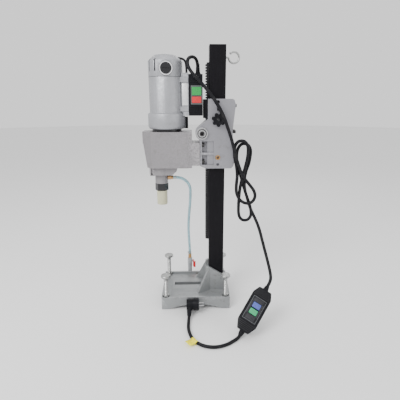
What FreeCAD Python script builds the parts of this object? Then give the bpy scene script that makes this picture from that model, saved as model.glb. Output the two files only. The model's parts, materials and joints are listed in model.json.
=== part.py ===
import FreeCAD, Part
import math
import os
import re

import Sketcher

# Core drill rig: a wet diamond core drill on a rack-and-column stand, in millimetres.
# +Z is up, +X runs from the drill to the column, and the operator stands at -Y.
# The origin is the middle of the base's footprint, on the floor.

SIZES = {
    # base casting
    "base_len": 276, "base_wid": 224, "rim_top": 54, "rim_wall": 9, "tray_top": 46,
    "arch_span_x": 212, "arch_span_y": 160, "arch_rise": 20,
    "slot_left": -90, "slot_right": 22, "slot_wid": 24,
    "bar_left": -100, "bar_right": 34, "bar_wid": 84, "bar_slope": 14,
    "cheek_wall": 12, "cheek_top": 152, "cheek_back_top": 114, "cheek_back": 121,
    "gusset_len": 50, "gusset_wall": 9, "gusset_turn": 30, "web_wall": 12, "web_top": 132,
    "boss_rad": 14,
    # levelling bolts
    "level_x": 120, "level_y": 96, "level_rad": 8, "level_top": 146, "level_head_rad": 19,
    "level_head_high": 9, "level_cone_high": 11, "level_tip": 2, "nut_across": 24, "nut_high": 13,
    # column, rack and hook
    "col_x": 85, "col_side": 60, "col_wall": 5, "col_top": 1002, "cap_high": 3, "cap_plug": 15,
    "rack_top": 947, "rack_foot": 265, "rack_wid": 24, "rack_screw_rad": 3,
    "rack_head_rad": 5, "rack_head_deep": 5, "gear_mod": 3, "pinion_teeth": 10,
    "rack_tooth_tip": 1.75, "rack_tooth_root": 3.5, "backlash": 0.35,
    "hook_z": 964, "hook_reach": 30, "hook_rad": 19, "hook_wire": 3.5, "hook_open": 128,
    "tie_rad": 5, "tie_head_rad": 9, "tie_head_high": 7, "tie_low": 74, "tie_high": 114,
    # carriage
    "car_half": 50, "car_top": 821, "car_foot": 567, "car_left_top": 50, "car_right_top": 151,
    "car_waist": 141, "car_right_foot": 149, "flange_x": 19, "flange_wall": 8,
    "pinion_x": 28, "pinion_z": 698, "lug_rad": 24, "hub_rad": 22, "hub_out": 6,
    "guard_x": 33, "guard_half": 20, "guard_foot": 752, "guard_wall": 3, "pad_thick": 4,
    "pad_high": 44, "pad_gap": 0.15, "pinion_shaft_rad": 10, "bush_wall": 3, "bush_len": 22,
    "shaft_end_rad": 13, "shaft_out": 7, "socket_across": 12,
    "pocket_deep": 18, "pocket_shallow": 5, "pocket_right": 72,
    "bolt_low": 592, "bolt_up": 655, "bolt_rad": 5, "bolt_head_rad": 8, "bolt_head_high": 10,
    "bolt_y": 41, "bolt_bite": 20,
    "knob_x": 88, "knob_z": 748, "knob_rad": 19, "knob_lobe": 6.5, "knob_thick": 15,
    "knob_neck": 5, "stud_rad": 6, "insert_z": 609, "insert_rad": 9, "insert_bore": 5,
    "insert_deep": 12, "hole_z": 583, "side_screw_rad": 4, "side_head_rad": 6,
    "clip_screw_x": 86, "clip_screw_z": 810,
    # gearbox
    "spin_x": -131, "motor_x": -104, "box_left": -195, "box_right": -10, "box_half": 62,
    "box_top": 704, "box_foot": 570, "box_wall": 5, "left_wall": 14, "box_floor": 16,
    "arm_half": 56,
    "arm_top": 663, "arm_foot": 579, "neck_rad": 53, "neck_high": 10, "cover_thick": 12,
    "nose_left": -177, "nose_right": -69, "nose_half": 48, "nose_foot": 539, "ear_high": 8,
    "stage_one_mod": 1.25, "stage_one_small": 15, "stage_one_big": 36,
    "stage_two_mod": 1.5, "stage_two_small": 15, "stage_two_big": 38,
    "spin_shaft_rad": 15, "spin_bore": 5, "counter_rad": 7.5, "running": 0.05,
    # water swivel, spindle nose and hose
    "spin_seat_rad": 24, "counter_seat_rad": 14, "motor_bearing_rad": 16,
    "motor_bearing_high": 11, "top_bearing_rad": 13, "seal_rad": 22, "swivel_rad": 25,
    "swivel_foot": 502, "nose_nut_across": 46, "nose_nut_foot": 473, "sleeve_rad": 21,
    "sleeve_foot": 416,
    "fitting_rad": 8, "hose_rad": 5.75,
    # motor
    "barrel_rad": 62, "barrel_wall": 5, "collar_rad": 69.5, "collar_top": 772, "barrel_foot": 714,
    "cap_seam": 896, "cap_rim": 956, "dome_top": 974, "brush_z": 923, "brush_turn": 6,
    "brush_cap_rad": 20, "brush_boss_rad": 25, "shaft_rad": 7.5, "core_rad": 34,
    "commutator_rad": 19, "stator_bore": 36,
    # switch
    "bracket_left": -66, "bracket_right": -20, "bracket_half": 28, "switch_left": -20,
    "switch_right": 31, "switch_foot": 761, "switch_top": 906, "switch_front": -34,
    "switch_back": 26, "switch_wall": 3, "bezel_left": -12, "bezel_right": 29.5,
    "bezel_foot": 801, "bezel_top": 867, "gland_y": 18, "button_wid": 35, "green_foot": 833,
    "green_high": 29, "red_foot": 806, "red_high": 23, "button_gap": 0.4, "button_out": 5,
    "lead_rad": 6, "tail_rad": 4,
    # fits
    "slip": 0.08, "seat": 0.05, "air_gap": 0.3,
}

TOOTH_PRESSURE = 20.0

doc = FreeCAD.newDocument("core_drill_rig")
sheet = doc.addObject("Spreadsheet::Sheet", "sizes")
for row, (alias, value) in enumerate(SIZES.items(), start=1):
    sheet.set(f"A{row}", str(value))
    sheet.setAlias(f"A{row}", alias)
doc.recompute()

# Places that follow from the sheet, as expressions.
DERIVED = {
    "col_left": "col_x - col_side / 2",
    "col_right": "col_x + col_side / 2",
    "col_half": "col_side / 2",
    "guide_half": "col_side / 2 + pad_gap + pad_thick",
    "pitch_rad": "gear_mod * pinion_teeth / 2",
    "rack_tip_x": "pinion_x + gear_mod * pinion_teeth / 2 - rack_tooth_tip",
    "one_dist": "stage_one_mod * (stage_one_small + stage_one_big) / 2",
    "two_dist": "stage_two_mod * (stage_two_small + stage_two_big) / 2",
    "gear_shift": "motor_x - spin_x",
    "counter_dx": "(one_dist * one_dist - two_dist * two_dist + gear_shift * gear_shift)"
                  " / (2 * gear_shift)",
    "counter_x": "motor_x - counter_dx",
    "counter_y": "sqrt(one_dist * one_dist - counter_dx * counter_dx)",
    "switch_mid": "(switch_left + switch_right) / 2",
    "button_mid": "(bezel_left + bezel_right) / 2",
    "fitting_z": "(nose_foot + swivel_foot) / 2 + 3",
}
FUNCTIONS = {"sqrt", "sin", "cos", "atan", "min", "max"}


def expr(text):
    """Spell a size expression out so that every word names a cell of the sheet."""
    text = str(text)

    def word(match):
        name = match[0]
        if name in DERIVED:
            return "(" + expr(DERIVED[name]) + ")"
        if name in FUNCTIONS:
            return name
        if name not in SIZES:
            raise ValueError(f"no size called {name}")
        return "sizes." + name

    return re.sub(r"[a-z_][a-z_0-9]*", word, text)


def num(text):
    """The value of a size expression, for the shapes that are computed here."""
    return float(sheet.evalExpression(expr(text)))


X_AXIS, Y_AXIS, Z_AXIS = (FreeCAD.Vector(*v) for v in ((1, 0, 0), (0, 1, 0), (0, 0, 1)))
TURNS = {
    "Z": FreeCAD.Rotation(), "-Z": FreeCAD.Rotation(X_AXIS, 180),
    "X": FreeCAD.Rotation(Y_AXIS, 90), "-X": FreeCAD.Rotation(Y_AXIS, -90),
    "Y": FreeCAD.Rotation(X_AXIS, -90), "-Y": FreeCAD.Rotation(X_AXIS, 90),
}
nodes = []
count = {}


def name_for(stem):
    count[stem] = count.get(stem, 0) + 1
    return f"{stem}_{count[stem]}"


def place(obj, at, turn):
    obj.Placement = FreeCAD.Placement(FreeCAD.Vector(), turn)
    for axis, value in zip("xyz", at):
        obj.setExpression(f"Placement.Base.{axis}", expr(value))
    return obj


def primitive(kind, stem, at, turn, **sizes):
    obj = doc.addObject(f"Part::{kind}", name_for(stem))
    for prop, value in sizes.items():
        obj.setExpression(prop, expr(value))
    return place(obj, at, turn)


def box(stem, low, high):
    size = [f"({b}) - ({a})" for a, b in zip(low, high)]
    return primitive("Box", stem, low, TURNS["Z"], Length=size[0], Width=size[1], Height=size[2])


def cyl(stem, radius, length, at, axis="Z"):
    return primitive("Cylinder", stem, at, TURNS[axis], Radius=radius, Height=length)


def cone(stem, low_rad, top_rad, length, at, axis="Z"):
    return primitive("Cone", stem, at, TURNS[axis], Radius1=low_rad, Radius2=top_rad,
                     Height=length)


def hexagon(stem, across, length, at, axis="Z"):
    obj = doc.addObject("Part::Prism", name_for(stem))
    obj.Polygon = 6
    obj.setExpression("Circumradius", expr(f"({across}) / sqrt(3)"))
    obj.setExpression("Height", expr(length))
    return place(obj, at, TURNS[axis])


def cut(stem, base, *tools):
    obj = doc.addObject("Part::Cut", name_for(stem))
    obj.Base = base
    obj.Tool = tools[0] if len(tools) == 1 else fuse(stem + "_tools", *tools)
    return obj


def fuse(stem, *parts):
    obj = doc.addObject("Part::MultiFuse", name_for(stem))
    obj.Shapes = list(parts)
    return obj


def common(stem, base, tool):
    obj = doc.addObject("Part::Common", name_for(stem))
    obj.Base = base
    obj.Tool = tool
    return obj


def group(stem, parts):
    obj = doc.addObject("Part::Compound", name_for(stem))
    obj.Links = list(parts)
    return obj


def tube(stem, outer, inner, length, at, axis="Z"):
    return cut(stem, cyl(stem, outer, length, at, axis), cyl(stem, inner, length, at, axis))


def origin_plane(body, role):
    return next(o for o in body.Origin.OriginFeatures if o.Role == role)


def outline(body, role, points):
    """A closed sketch of straight lines whose corners are bound to the sheet."""
    sketch = body.newObject("Sketcher::SketchObject", body.Name + "_outline")
    sketch.AttachmentSupport = (origin_plane(body, role), [""])
    sketch.MapMode = "FlatFace"
    corners = [FreeCAD.Vector(num(u), num(v), 0) for u, v in points]
    total = len(corners)
    for i in range(total):
        sketch.addGeometry(Part.LineSegment(corners[i], corners[(i + 1) % total]), False)
    rules = [Sketcher.Constraint("Coincident", i, 2, (i + 1) % total, 1) for i in range(total)]
    for i, corner in enumerate(corners):
        rules.append(Sketcher.Constraint("DistanceX", -1, 1, i, 1, corner.x))
        rules.append(Sketcher.Constraint("DistanceY", -1, 1, i, 1, corner.y))
    sketch.addConstraint(rules)
    for i, (u, v) in enumerate(points):
        sketch.renameConstraint(total + 2 * i, f"across{i}")
        sketch.renameConstraint(total + 2 * i + 1, f"along{i}")
        sketch.setExpression(f"Constraints.across{i}", expr(u))
        sketch.setExpression(f"Constraints.along{i}", expr(v))
    return sketch


def padded(stem, role, points, length, at=("0", "0", "0"), turn=TURNS["Z"]):
    """A padded body: XZ sketches grow towards -Y, XY towards +Z and YZ towards +X."""
    body = doc.addObject("PartDesign::Body", name_for(stem))
    pad = body.newObject("PartDesign::Pad", body.Name + "_pad")
    pad.Profile = (outline(body, role, points), [""])
    pad.setExpression("Length", expr(length))
    return place(body, at, turn)


def turned(stem, points, at, axis="Z"):
    """A turned body from an outline of (radius, height) corners."""
    body = doc.addObject("PartDesign::Body", name_for(stem))
    revolve = body.newObject("PartDesign::Revolution", body.Name + "_turn")
    sketch = outline(body, "XZ_Plane", points)
    revolve.Profile = (sketch, [""])
    revolve.ReferenceAxis = (sketch, ["V_Axis"])
    revolve.Angle = 360
    return place(body, at, TURNS[axis])


def shaped(stem, shape, at=(0, 0, 0), turn=FreeCAD.Rotation()):
    """A computed shape, for teeth and for the run of a cord."""
    obj = doc.addObject("Part::Feature", name_for(stem))
    obj.Shape = shape
    obj.Placement = FreeCAD.Placement(FreeCAD.Vector(*at), turn)
    return obj


def node(label, obj):
    obj.Label = label
    nodes.append(obj)
    return obj


def pinned(points, radius):
    """Straight runs joined by tangent arcs, each arc 0.45 of its shorter run."""
    points = [FreeCAD.Vector(*p) for p in points]
    edges, start, radii = [], points[0], []
    for before, corner, after in zip(points, points[1:], points[2:]):
        into, out = corner - before, after - corner
        reach = 0.45 * min(into.Length, out.Length)
        turn = into.getAngle(out)
        a = corner - into.normalize() * reach
        b = corner + out.normalize() * reach
        bend = reach / math.tan(turn / 2)
        middle = corner + ((a + b) * 0.5 - corner).normalize() * (
            bend / math.cos(turn / 2) - bend)
        edges += [Part.LineSegment(start, a).toShape(), Part.Arc(a, middle, b).toShape()]
        start = b
        radii.append(bend)
    edges.append(Part.LineSegment(start, points[-1]).toShape())
    path = Part.Wire(edges)
    ring = Part.Wire(Part.Circle(points[0], points[1] - points[0], radius).toShape())
    solid = path.makePipeShell([ring], True, True)
    share = solid.Volume / (math.pi * radius ** 2 * path.Length)
    print(f"cord {path.Length:.0f} mm, tightest {min(radii):.0f} mm, volume share {share:.3f}")
    return solid


def gear(module, teeth, width, bore, thin, root=1.25, phase=0.0):
    """A spur gear with involute flanks, thinned by its share of the backlash."""
    press = math.radians(TOOTH_PRESSURE)
    pitch, base = module * teeth / 2, module * teeth / 2 * math.cos(press)
    tip, floor = pitch + module, pitch - root * module
    half = math.pi / (2 * teeth) - thin / (2 * pitch) + math.tan(press) - press

    def flank(radius):
        lean = math.acos(min(1.0, base / radius))
        return half - (math.tan(lean) - lean)

    start = max(base, floor)
    steps = [start + (tip - start) * k / 6 for k in range(7)]
    side = [(floor, flank(start))] if floor < start - 1e-6 else []
    side += [(r, flank(r)) for r in steps]
    corners = []
    for k in range(teeth):
        mid = phase + 2 * math.pi * k / teeth
        corners += [(r, mid - a) for r, a in side] + [(r, mid + a) for r, a in reversed(side)]
    points = [FreeCAD.Vector(r * math.cos(a), r * math.sin(a), 0) for r, a in corners]
    face = Part.Face(Part.makePolygon(points + points[:1]))
    solid = face.extrude(FreeCAD.Vector(0, 0, width))
    return solid.cut(Part.makeCylinder(bore, width)) if bore else solid


# ---------------------------------------------------------------- stand

def make_base():
    half_len, half_wid = "base_len / 2", "base_wid / 2"
    slab = box("slab", (f"-{half_len}", f"-{half_wid}", "0"), (half_len, half_wid, "rim_top"))
    tray = box("tray", (f"rim_wall - {half_len}", f"rim_wall - {half_wid}", "tray_top"),
               (f"{half_len} - rim_wall", f"{half_wid} - rim_wall", "rim_top + 1"))
    arches = []
    for span, length, axis, at in (
            ("arch_span_x", "base_wid + 2", "Y", ["0", f"-{half_wid} - 1"]),
            ("arch_span_y", "base_len + 2", "X", [f"-{half_len} - 1", "0"])):
        radius = f"({span} * {span} / 4 + arch_rise * arch_rise) / (2 * arch_rise)"
        arches.append(cyl("arch", radius, length, at + [f"arch_rise - {radius}"], axis))
    bar_half = "bar_wid / 2"
    bar = padded("anchor_bar", "YZ_Plane", [
        (f"-{bar_half} - bar_slope", "tray_top - 4"), (f"{bar_half} + bar_slope", "tray_top - 4"),
        (f"{bar_half} + bar_slope", "tray_top"), (bar_half, "rim_top"),
        (f"-{bar_half}", "rim_top"), (f"-{bar_half} - bar_slope", "tray_top")],
        "bar_right - bar_left", ("bar_left", "0", "0"))
    cheeks = []
    for side, low in (("front", "-col_half"), ("rear", "col_half + cheek_wall")):
        cheeks.append(padded(f"{side}_cheek", "XZ_Plane", [
            ("col_left - web_wall", "tray_top - 4"), ("cheek_back", "tray_top - 4"),
            ("cheek_back", "cheek_back_top - 10"), ("col_right - 1", "cheek_back_top"),
            ("col_left - 2", "cheek_top"), ("col_left - web_wall", "cheek_top - 6")],
            "cheek_wall", ("0", low, "0")))
    web = box("web", ("col_left - web_wall", "-col_half", "tray_top - 4"),
              ("col_left", "col_half", "web_top"))
    for side in (-1, 1):
        rib = padded("gusset", "XZ_Plane", [
            ("4", "tray_top - 4"), ("4", "cheek_top - 8"), ("0", "cheek_top - 6"),
            ("-gusset_len", "tray_top + 4"), ("-gusset_len", "tray_top - 4")],
            "gusset_wall", ("col_left - 4", f"{side} * (col_half + cheek_wall) + gusset_wall / 2", "0"),
            FreeCAD.Rotation(Z_AXIS, -side * SIZES["gusset_turn"]))
        cheeks.append(rib)
    corners = [(x, y) for x in (-1, 1) for y in (-1, 1)]
    bosses = [cyl("boss", "boss_rad", "tray_top", (f"{x} * level_x", f"{y} * level_y", "0"))
              for x, y in corners]
    solid = fuse("base_solid", cut("base_shell", slab, tray), bar, web, *cheeks, *bosses)
    bores = [cyl("level_bore", "level_rad + slip", "rim_top + 4",
                 (f"{x} * level_x", f"{y} * level_y", "-2")) for x, y in corners]
    slot = box("anchor_slot", ("slot_left", "-slot_wid / 2", "-1"),
               ("slot_right", "slot_wid / 2", "rim_top + 1"))
    ties = [cyl("tie_hole", "tie_rad + seat", "web_wall - 2 + 1",
                ("col_left - web_wall + 2", "0", high), "X") for high in ("tie_low", "tie_high")]
    reliefs = [cyl("nut_relief", "nut_across / sqrt(3) + 1.5", "rim_top",
                   (f"{x} * level_x", f"{y} * level_y", "tray_top")) for x, y in corners]
    eye = cyl("cheek_eye", "6", "cheek_wall + 2",
              ("col_left - 2 + 14", "col_half - 1", "cheek_top - 30"), "Y")
    node("base_casting", cut("base", solid, *arches, slot, *bores, *reliefs, *ties, eye))


def make_levelling():
    corners = {"front_left": (-1, -1), "front_right": (1, -1), "rear_left": (-1, 1),
               "rear_right": (1, 1)}
    nuts = []
    for label, (x, y) in corners.items():
        at = (f"{x} * level_x", f"{y} * level_y")
        neck = "level_top - level_head_high"
        node(f"levelling_bolt_{label}", fuse(
            "levelling_bolt",
            cyl("shank", "level_rad", f"{neck} - level_tip", (*at, "level_tip")),
            cone("flare", "level_rad", "level_head_rad", "level_cone_high",
                 (*at, f"{neck} - level_cone_high")),
            cyl("head", "level_head_rad", "level_head_high", (*at, neck))))
        nuts.append(cut("lock_nut", hexagon("lock_nut", "nut_across", "nut_high",
                                            (*at, "tray_top")),
                        cyl("nut_bore", "level_rad + slip", "nut_high", (*at, "tray_top"))))
    node("levelling_lock_nuts", group("levelling_lock_nuts", nuts))


def make_column():
    low, high = "tray_top", "col_top"
    outer = box("tube_outer", ("col_left", "-col_half", low), ("col_right", "col_half", high))
    inner = box("tube_inner", ("col_left + col_wall", "col_wall - col_half", low),
                ("col_right - col_wall", "col_half - col_wall", high))
    holes = [cyl("rack_hole", "rack_screw_rad + seat", "col_wall + 2",
                 ("col_left - 1", "0", at), "X") for at in rack_screw_heights()]
    holes += [cyl("tie_way", "tie_rad + seat", "col_side + 2", ("col_left - 1", "0", at), "X")
              for at in ("tie_low", "tie_high")]
    holes.append(cyl("hook_hole", "hook_wire + seat", "col_wall + 2",
                     ("col_right - col_wall - 1", "0", "hook_z"), "X"))
    node("column_tube", cut("column", outer, inner, *holes))
    plug = "col_wall + seat * 4"
    node("column_cap", fuse(
        "column_cap",
        box("cap_plate", ("col_left", "-col_half", high), ("col_right", "col_half",
                                                           "col_top + cap_high")),
        box("cap_plug", (f"col_left + {plug}", f"{plug} - col_half", "col_top - cap_plug"),
            (f"col_right - ({plug})", f"col_half - ({plug})", "col_top + cap_high / 2"))))
    bolts = []
    for at in ("tie_low", "tie_high"):
        bolts.append(fuse(
            "tie_bolt",
            cyl("tie_shank", "tie_rad", "col_side + web_wall - 3",
                ("col_left - web_wall + 3", "0", at), "X"),
            hexagon("tie_head", "tie_head_rad * sqrt(3)", "tie_head_high",
                    ("col_right", "0", at), "X")))
    node("column_bolts", group("column_bolts", bolts))


def rack_screw_heights():
    span = "(rack_top - rack_foot - 60)"
    return [f"rack_foot + 30 + {span} * {k} / 4" for k in range(5)]


def make_rack():
    module, pitch = num("gear_mod"), math.pi * num("gear_mod")
    line_x, back = num("pinion_x + pitch_rad"), num("col_left")
    tip, root = line_x - num("rack_tooth_tip"), line_x + num("rack_tooth_root")
    low, high, mid = num("rack_foot"), num("rack_top"), num("pinion_z")
    slope = math.tan(math.radians(TOOTH_PRESSURE))
    half = pitch / 4 - num("backlash") / 4
    half_tip, half_root = half - slope * (line_x - tip), half + slope * (root - line_x)
    first = math.ceil((low + half_root - mid) / pitch - 0.5)
    last = math.floor((high - half_root - mid) / pitch - 0.5)
    points = [(back, low), (root, low)]
    for k in range(first, last + 1):
        z = mid + (k + 0.5) * pitch
        points += [(root, z - half_root), (tip, z - half_tip), (tip, z + half_tip),
                   (root, z + half_root)]
    points += [(root, high), (back, high)]
    wide = num("rack_wid")
    wire = Part.makePolygon([FreeCAD.Vector(x, -wide / 2, z) for x, z in points + points[:1]])
    blank = shaped("rack_blank", Part.Face(wire).extrude(FreeCAD.Vector(0, wide, 0)))
    shanks = [cyl("rack_way", "rack_screw_rad + seat", "30", ("col_left - 29", "0", at), "X")
              for at in rack_screw_heights()]
    seats = [cyl("rack_seat", "rack_head_rad + seat * 4", "30",
                 ("col_left - 30 - 4 + seat", "0", at), "X") for at in rack_screw_heights()]
    node("rack", cut("rack", blank, *shanks, *seats))
    screws = []
    for at in rack_screw_heights():
        head = cut("rack_head", cyl("rack_head", "rack_head_rad", "rack_head_deep",
                                    ("col_left - 4 - rack_head_deep + seat", "0", at), "X"),
                   hexagon("rack_key", "5", "3",
                           ("col_left - 4 - rack_head_deep + seat", "0", at), "X"))
        shank = cyl("rack_shank", "rack_screw_rad", "4 + col_wall - seat * 2",
                    ("col_left - 4 + seat", "0", at), "X")
        screws.append(fuse("rack_screw", head, shank))
    node("rack_screws", group("rack_screws", screws))


def make_hook():
    ring = doc.addObject("Part::Torus", name_for("hook_ring"))
    ring.setExpression("Radius1", expr("hook_rad"))
    ring.setExpression("Radius2", expr("hook_wire"))
    ring.Angle3 = 180 + SIZES["hook_open"]
    place(ring, ("col_right + hook_reach", "0", "hook_z"),
          FreeCAD.Rotation(X_AXIS, 90) * FreeCAD.Rotation(Z_AXIS, 180))
    shank = cyl("hook_shank", "hook_wire", "hook_reach - hook_rad + col_wall - 1",
                ("col_right - col_wall + 1", "0", "hook_z"), "X")
    collar = cyl("hook_collar", "hook_wire + 2.5", "3", ("col_right", "0", "hook_z"), "X")
    ball = doc.addObject("Part::Sphere", name_for("hook_ball"))
    ball.setExpression("Radius", expr("hook_wire + 1"))
    place(ball, ("col_right + hook_reach + hook_rad * cos(hook_open)", "0",
                 "hook_z + hook_rad * sin(hook_open)"), TURNS["Z"])
    node("cable_hook", fuse("cable_hook", ring, shank, collar, ball))


# ---------------------------------------------------------------- carriage

def make_carriage():
    half = "car_half"
    block = padded("carriage_block", "XZ_Plane", [
        ("flange_x", "bolt_up + 16"), ("flange_x", "arm_foot"), ("flange_x + 4", "car_foot + 8"),
        ("flange_x + 24", "car_foot"), ("car_right_foot - 11", "car_foot"),
        ("car_right_foot - 3", "car_foot + 8"), ("car_right_foot", "car_foot + 22"),
        ("car_waist", "pinion_z + 6"), ("car_right_top", "car_top - 20"),
        ("car_right_top - 5", "car_top - 4"), ("car_right_top - 12", "car_top"),
        ("car_left_top", "car_top"), ("car_left_top", "pinion_z + 52"),
        ("pinion_x - 14", "pinion_z + 20"), ("pinion_x - 14", "pinion_z - 18")],
        f"2 * {half}", ("0", half, "0"))
    pinion = ("pinion_x", f"-{half}", "pinion_z")
    lug = cyl("lug", "lug_rad", f"2 * {half}", pinion, "Y")
    hub = cyl("hub", "hub_rad", f"2 * ({half} + hub_out)",
              ("pinion_x", f"-{half} - hub_out", "pinion_z"), "Y")
    way = "guide_half"
    passage = box("passage", (f"col_x - {way}", f"-{way}", "car_foot - 1"),
                  (f"col_x + {way}", way, "car_top + 1"))
    rack_way = box("rack_way", ("rack_tip_x - 3", "-rack_wid / 2 - 2", "car_foot - 1"),
                   ("col_x", "rack_wid / 2 + 2", "car_top + 1"))
    chamber = cyl("chamber", "pitch_rad + gear_mod + 1.5", "rack_wid + 4",
                  ("pinion_x", "-rack_wid / 2 - 2", "pinion_z"), "Y")
    bore = cyl("pinion_bore", "pinion_shaft_rad + running + bush_wall", f"2 * {half} + 20",
               ("pinion_x", f"-{half} - 10", "pinion_z"), "Y")
    mouths = []
    for start in (f"-{half} - hub_out - 1", half):
        mouths.append(cyl("hub_mouth", "shaft_end_rad + 1", "hub_out + 1",
                          ("pinion_x", start, "pinion_z"), "Y"))
    pockets = []
    rows = (("car_foot + 14", "(bolt_low + bolt_up) / 2 - 4"),
            ("(bolt_low + bolt_up) / 2 + 4", "bolt_up + 15"))
    for low, high in rows:
        for side in ("-", ""):
            edge, deep, shallow = ((f"{side}{half} - 1", f"{side}{half} + pocket_deep",
                                    f"{side}{half} + pocket_shallow") if side else
                                   (f"{half} + 1", f"{half} - pocket_deep",
                                    f"{half} - pocket_shallow"))
            for right, depth in (("rack_tip_x + 6", deep), ("pocket_right", shallow)):
                pair = (edge, depth) if side else (depth, edge)
                pockets.append(box("pocket", ("flange_x + flange_wall", pair[0], low),
                                   (right, pair[1], high)))
    ways = [cyl("bolt_way", "bolt_rad + 0.5", "flange_wall + 2",
                ("flange_x - 1", f"{side} * bolt_y", at), "X")
            for side in (-1, 1) for at in ("bolt_low", "bolt_up")]
    wall = f"{half} - {way} + 2"
    front = f"-{half} - 1"
    ways.append(cyl("stud_way", "stud_rad + slip", wall, ("knob_x", front, "knob_z"), "Y"))
    ways.append(cyl("insert_way", "insert_rad + seat", "insert_deep + 1",
                    ("knob_x - 1", front, "insert_z"), "Y"))
    ways.append(cyl("plain_way", "5.5", "insert_deep + 1", ("knob_x - 1", front, "hole_z"), "Y"))
    ways.append(cyl("clip_way", "3 + seat", "insert_deep + 1",
                    ("clip_screw_x", front, "clip_screw_z"), "Y"))
    for at in side_screw_heights():
        for side in (-1, 1):
            ways.append(cyl("side_way", "side_screw_rad + seat", "60",
                            (f"col_x + {way} - 1", f"{side} * 18", at), "X"))
    node("carriage_casting", cut("carriage", fuse("carriage_solid", block, lug, hub), passage,
                                 rack_way, chamber, bore, *mouths, *pockets, *ways))


def side_screw_heights():
    return ["car_foot + 20", "pinion_z + 4", "car_top - 24"]


def make_pads():
    way, near = "guide_half", "(col_half + pad_gap)"
    pads = []
    for low, high in (("car_foot + 6", "car_foot + 6 + pad_high"),
                      ("car_top - 6 - pad_high", "car_top - 6")):
        for side in (-1, 1):
            pair = (f"-{way}", f"-{near}") if side < 0 else (near, way)
            pads.append(box("face_pad", ("col_left + 6", pair[0], low),
                            ("col_right - 6", pair[1], high)))
            inner, outer = "(rack_wid / 2 + 3)", "(col_half - 2)"
            pair = (f"-{outer}", f"-{inner}") if side < 0 else (inner, outer)
            pads.append(box("rack_side_pad", (f"col_x - {way}", pair[0], low),
                            (f"col_x - {near}", pair[1], high)))
        pads.append(box("back_pad", (f"col_x + {near}", "4 - col_half", low),
                        (f"col_x + {way}", "col_half - 4", high)))
    pads.append(cut("rack_guard", box("rack_guard", ("guard_x", "-guard_half", "guard_foot"),
                                      ("car_left_top", "guard_half", "car_top - 1")),
                    box("guard_way", ("guard_x + guard_wall", "-rack_wid / 2 - 2.5",
                                      "guard_foot - 1"),
                        ("car_left_top + 1", "rack_wid / 2 + 2.5", "car_top"))))
    node("guide_pads", group("guide_pads", pads))


def make_side_screws():
    screws = []
    faces = ["car_right_foot - 1.9", "car_waist + 1", "car_right_top - 1"]
    for at, face, proud in zip(side_screw_heights(), faces, ("5", "12", "5")):
        for side in (-1, 1):
            y = f"{side} * 18"
            shank = cyl("side_shank", "side_screw_rad", f"{face} + 2 - (col_x + guide_half) - 1",
                        ("col_x + guide_half + 1", y, at), "X")
            head = cut("side_head",
                       cyl("side_head", "side_head_rad", proud, (f"{face} + 2", y, at), "X"),
                       hexagon("side_key", "5", "4", (f"{face} + 2 + {proud} - 4", y, at), "X"))
            screws.append(fuse("side_screw", shank, head))
    node("adjusting_screws", group("adjusting_screws", screws))


def make_pinion():
    inner = "rack_wid / 2 + 2"
    bushes = []
    for side in (-1, 1):
        at = ("pinion_x", f"-({inner}) - bush_len" if side < 0 else inner, "pinion_z")
        bushes.append(tube("bush", "pinion_shaft_rad + running + bush_wall - seat",
                           "pinion_shaft_rad + running", "bush_len", at, "Y"))
    node("pinion_bushes", group("pinion_bushes", bushes))
    wide = "rack_wid"
    teeth = shaped("pinion_teeth",
                   gear(num("gear_mod"), int(num("pinion_teeth")), num(wide), 0,
                        num("backlash") / 2, root=num("rack_tooth_tip + 0.7") / num("gear_mod")),
                   (num("pinion_x"), num(f"-({wide}) / 2"), num("pinion_z")), TURNS["Y"])
    reach = "(car_half + hub_out + shaft_out)"
    shaft = cyl("pinion_core", "pinion_shaft_rad", f"2 * {reach} - 6",
                ("pinion_x", f"3 - {reach}", "pinion_z"), "Y")
    end = cyl("pinion_end", "shaft_end_rad", "shaft_out + hub_out - 1",
              ("pinion_x", f"-{reach}", "pinion_z"), "Y")
    key = hexagon("pinion_key", "socket_across", "9", ("pinion_x", f"-{reach}", "pinion_z"), "Y")
    groove = tube("clip_groove", "pinion_shaft_rad + 1", "pinion_shaft_rad - 1", "1.6",
                  ("pinion_x", "car_half + hub_out + 2", "pinion_z"), "Y")
    turned_shaft = cut("pinion", fuse("pinion_solid", teeth, shaft, end), key, groove)
    circlip = tube("pinion_circlip", "pinion_shaft_rad + 3", "pinion_shaft_rad - 1 + 0.02", "1.5",
                   ("pinion_x", "car_half + hub_out + 2.05", "pinion_z"), "Y")
    node("pinion_shaft", group("pinion_shaft", [turned_shaft, circlip]))


def make_lock_knob():
    front = "-car_half - 1"
    stud = cyl("lock_stud", "stud_rad", "car_half + 1 + knob_thick - (col_half + pad_gap * 2)",
               ("knob_x", f"{front} - knob_thick", "knob_z"), "Y")
    parts = [cyl("knob_disc", "knob_rad", "knob_thick",
                 ("knob_x", f"{front} - knob_neck - knob_thick", "knob_z"), "Y"),
             cyl("knob_hub", "stud_rad + 4", "knob_neck",
                 ("knob_x", f"{front} - knob_neck", "knob_z"), "Y")]
    for k in range(7):
        angle = 360 * k / 7 + 12
        parts.append(cyl("knob_lobe", "knob_lobe", "knob_thick",
                         (f"knob_x + knob_rad * cos({angle:.3f})",
                          f"{front} - knob_neck - knob_thick",
                          f"knob_z + knob_rad * sin({angle:.3f})"), "Y"))
    node("lock_knob", fuse("lock_knob", stud, *parts))


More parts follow.
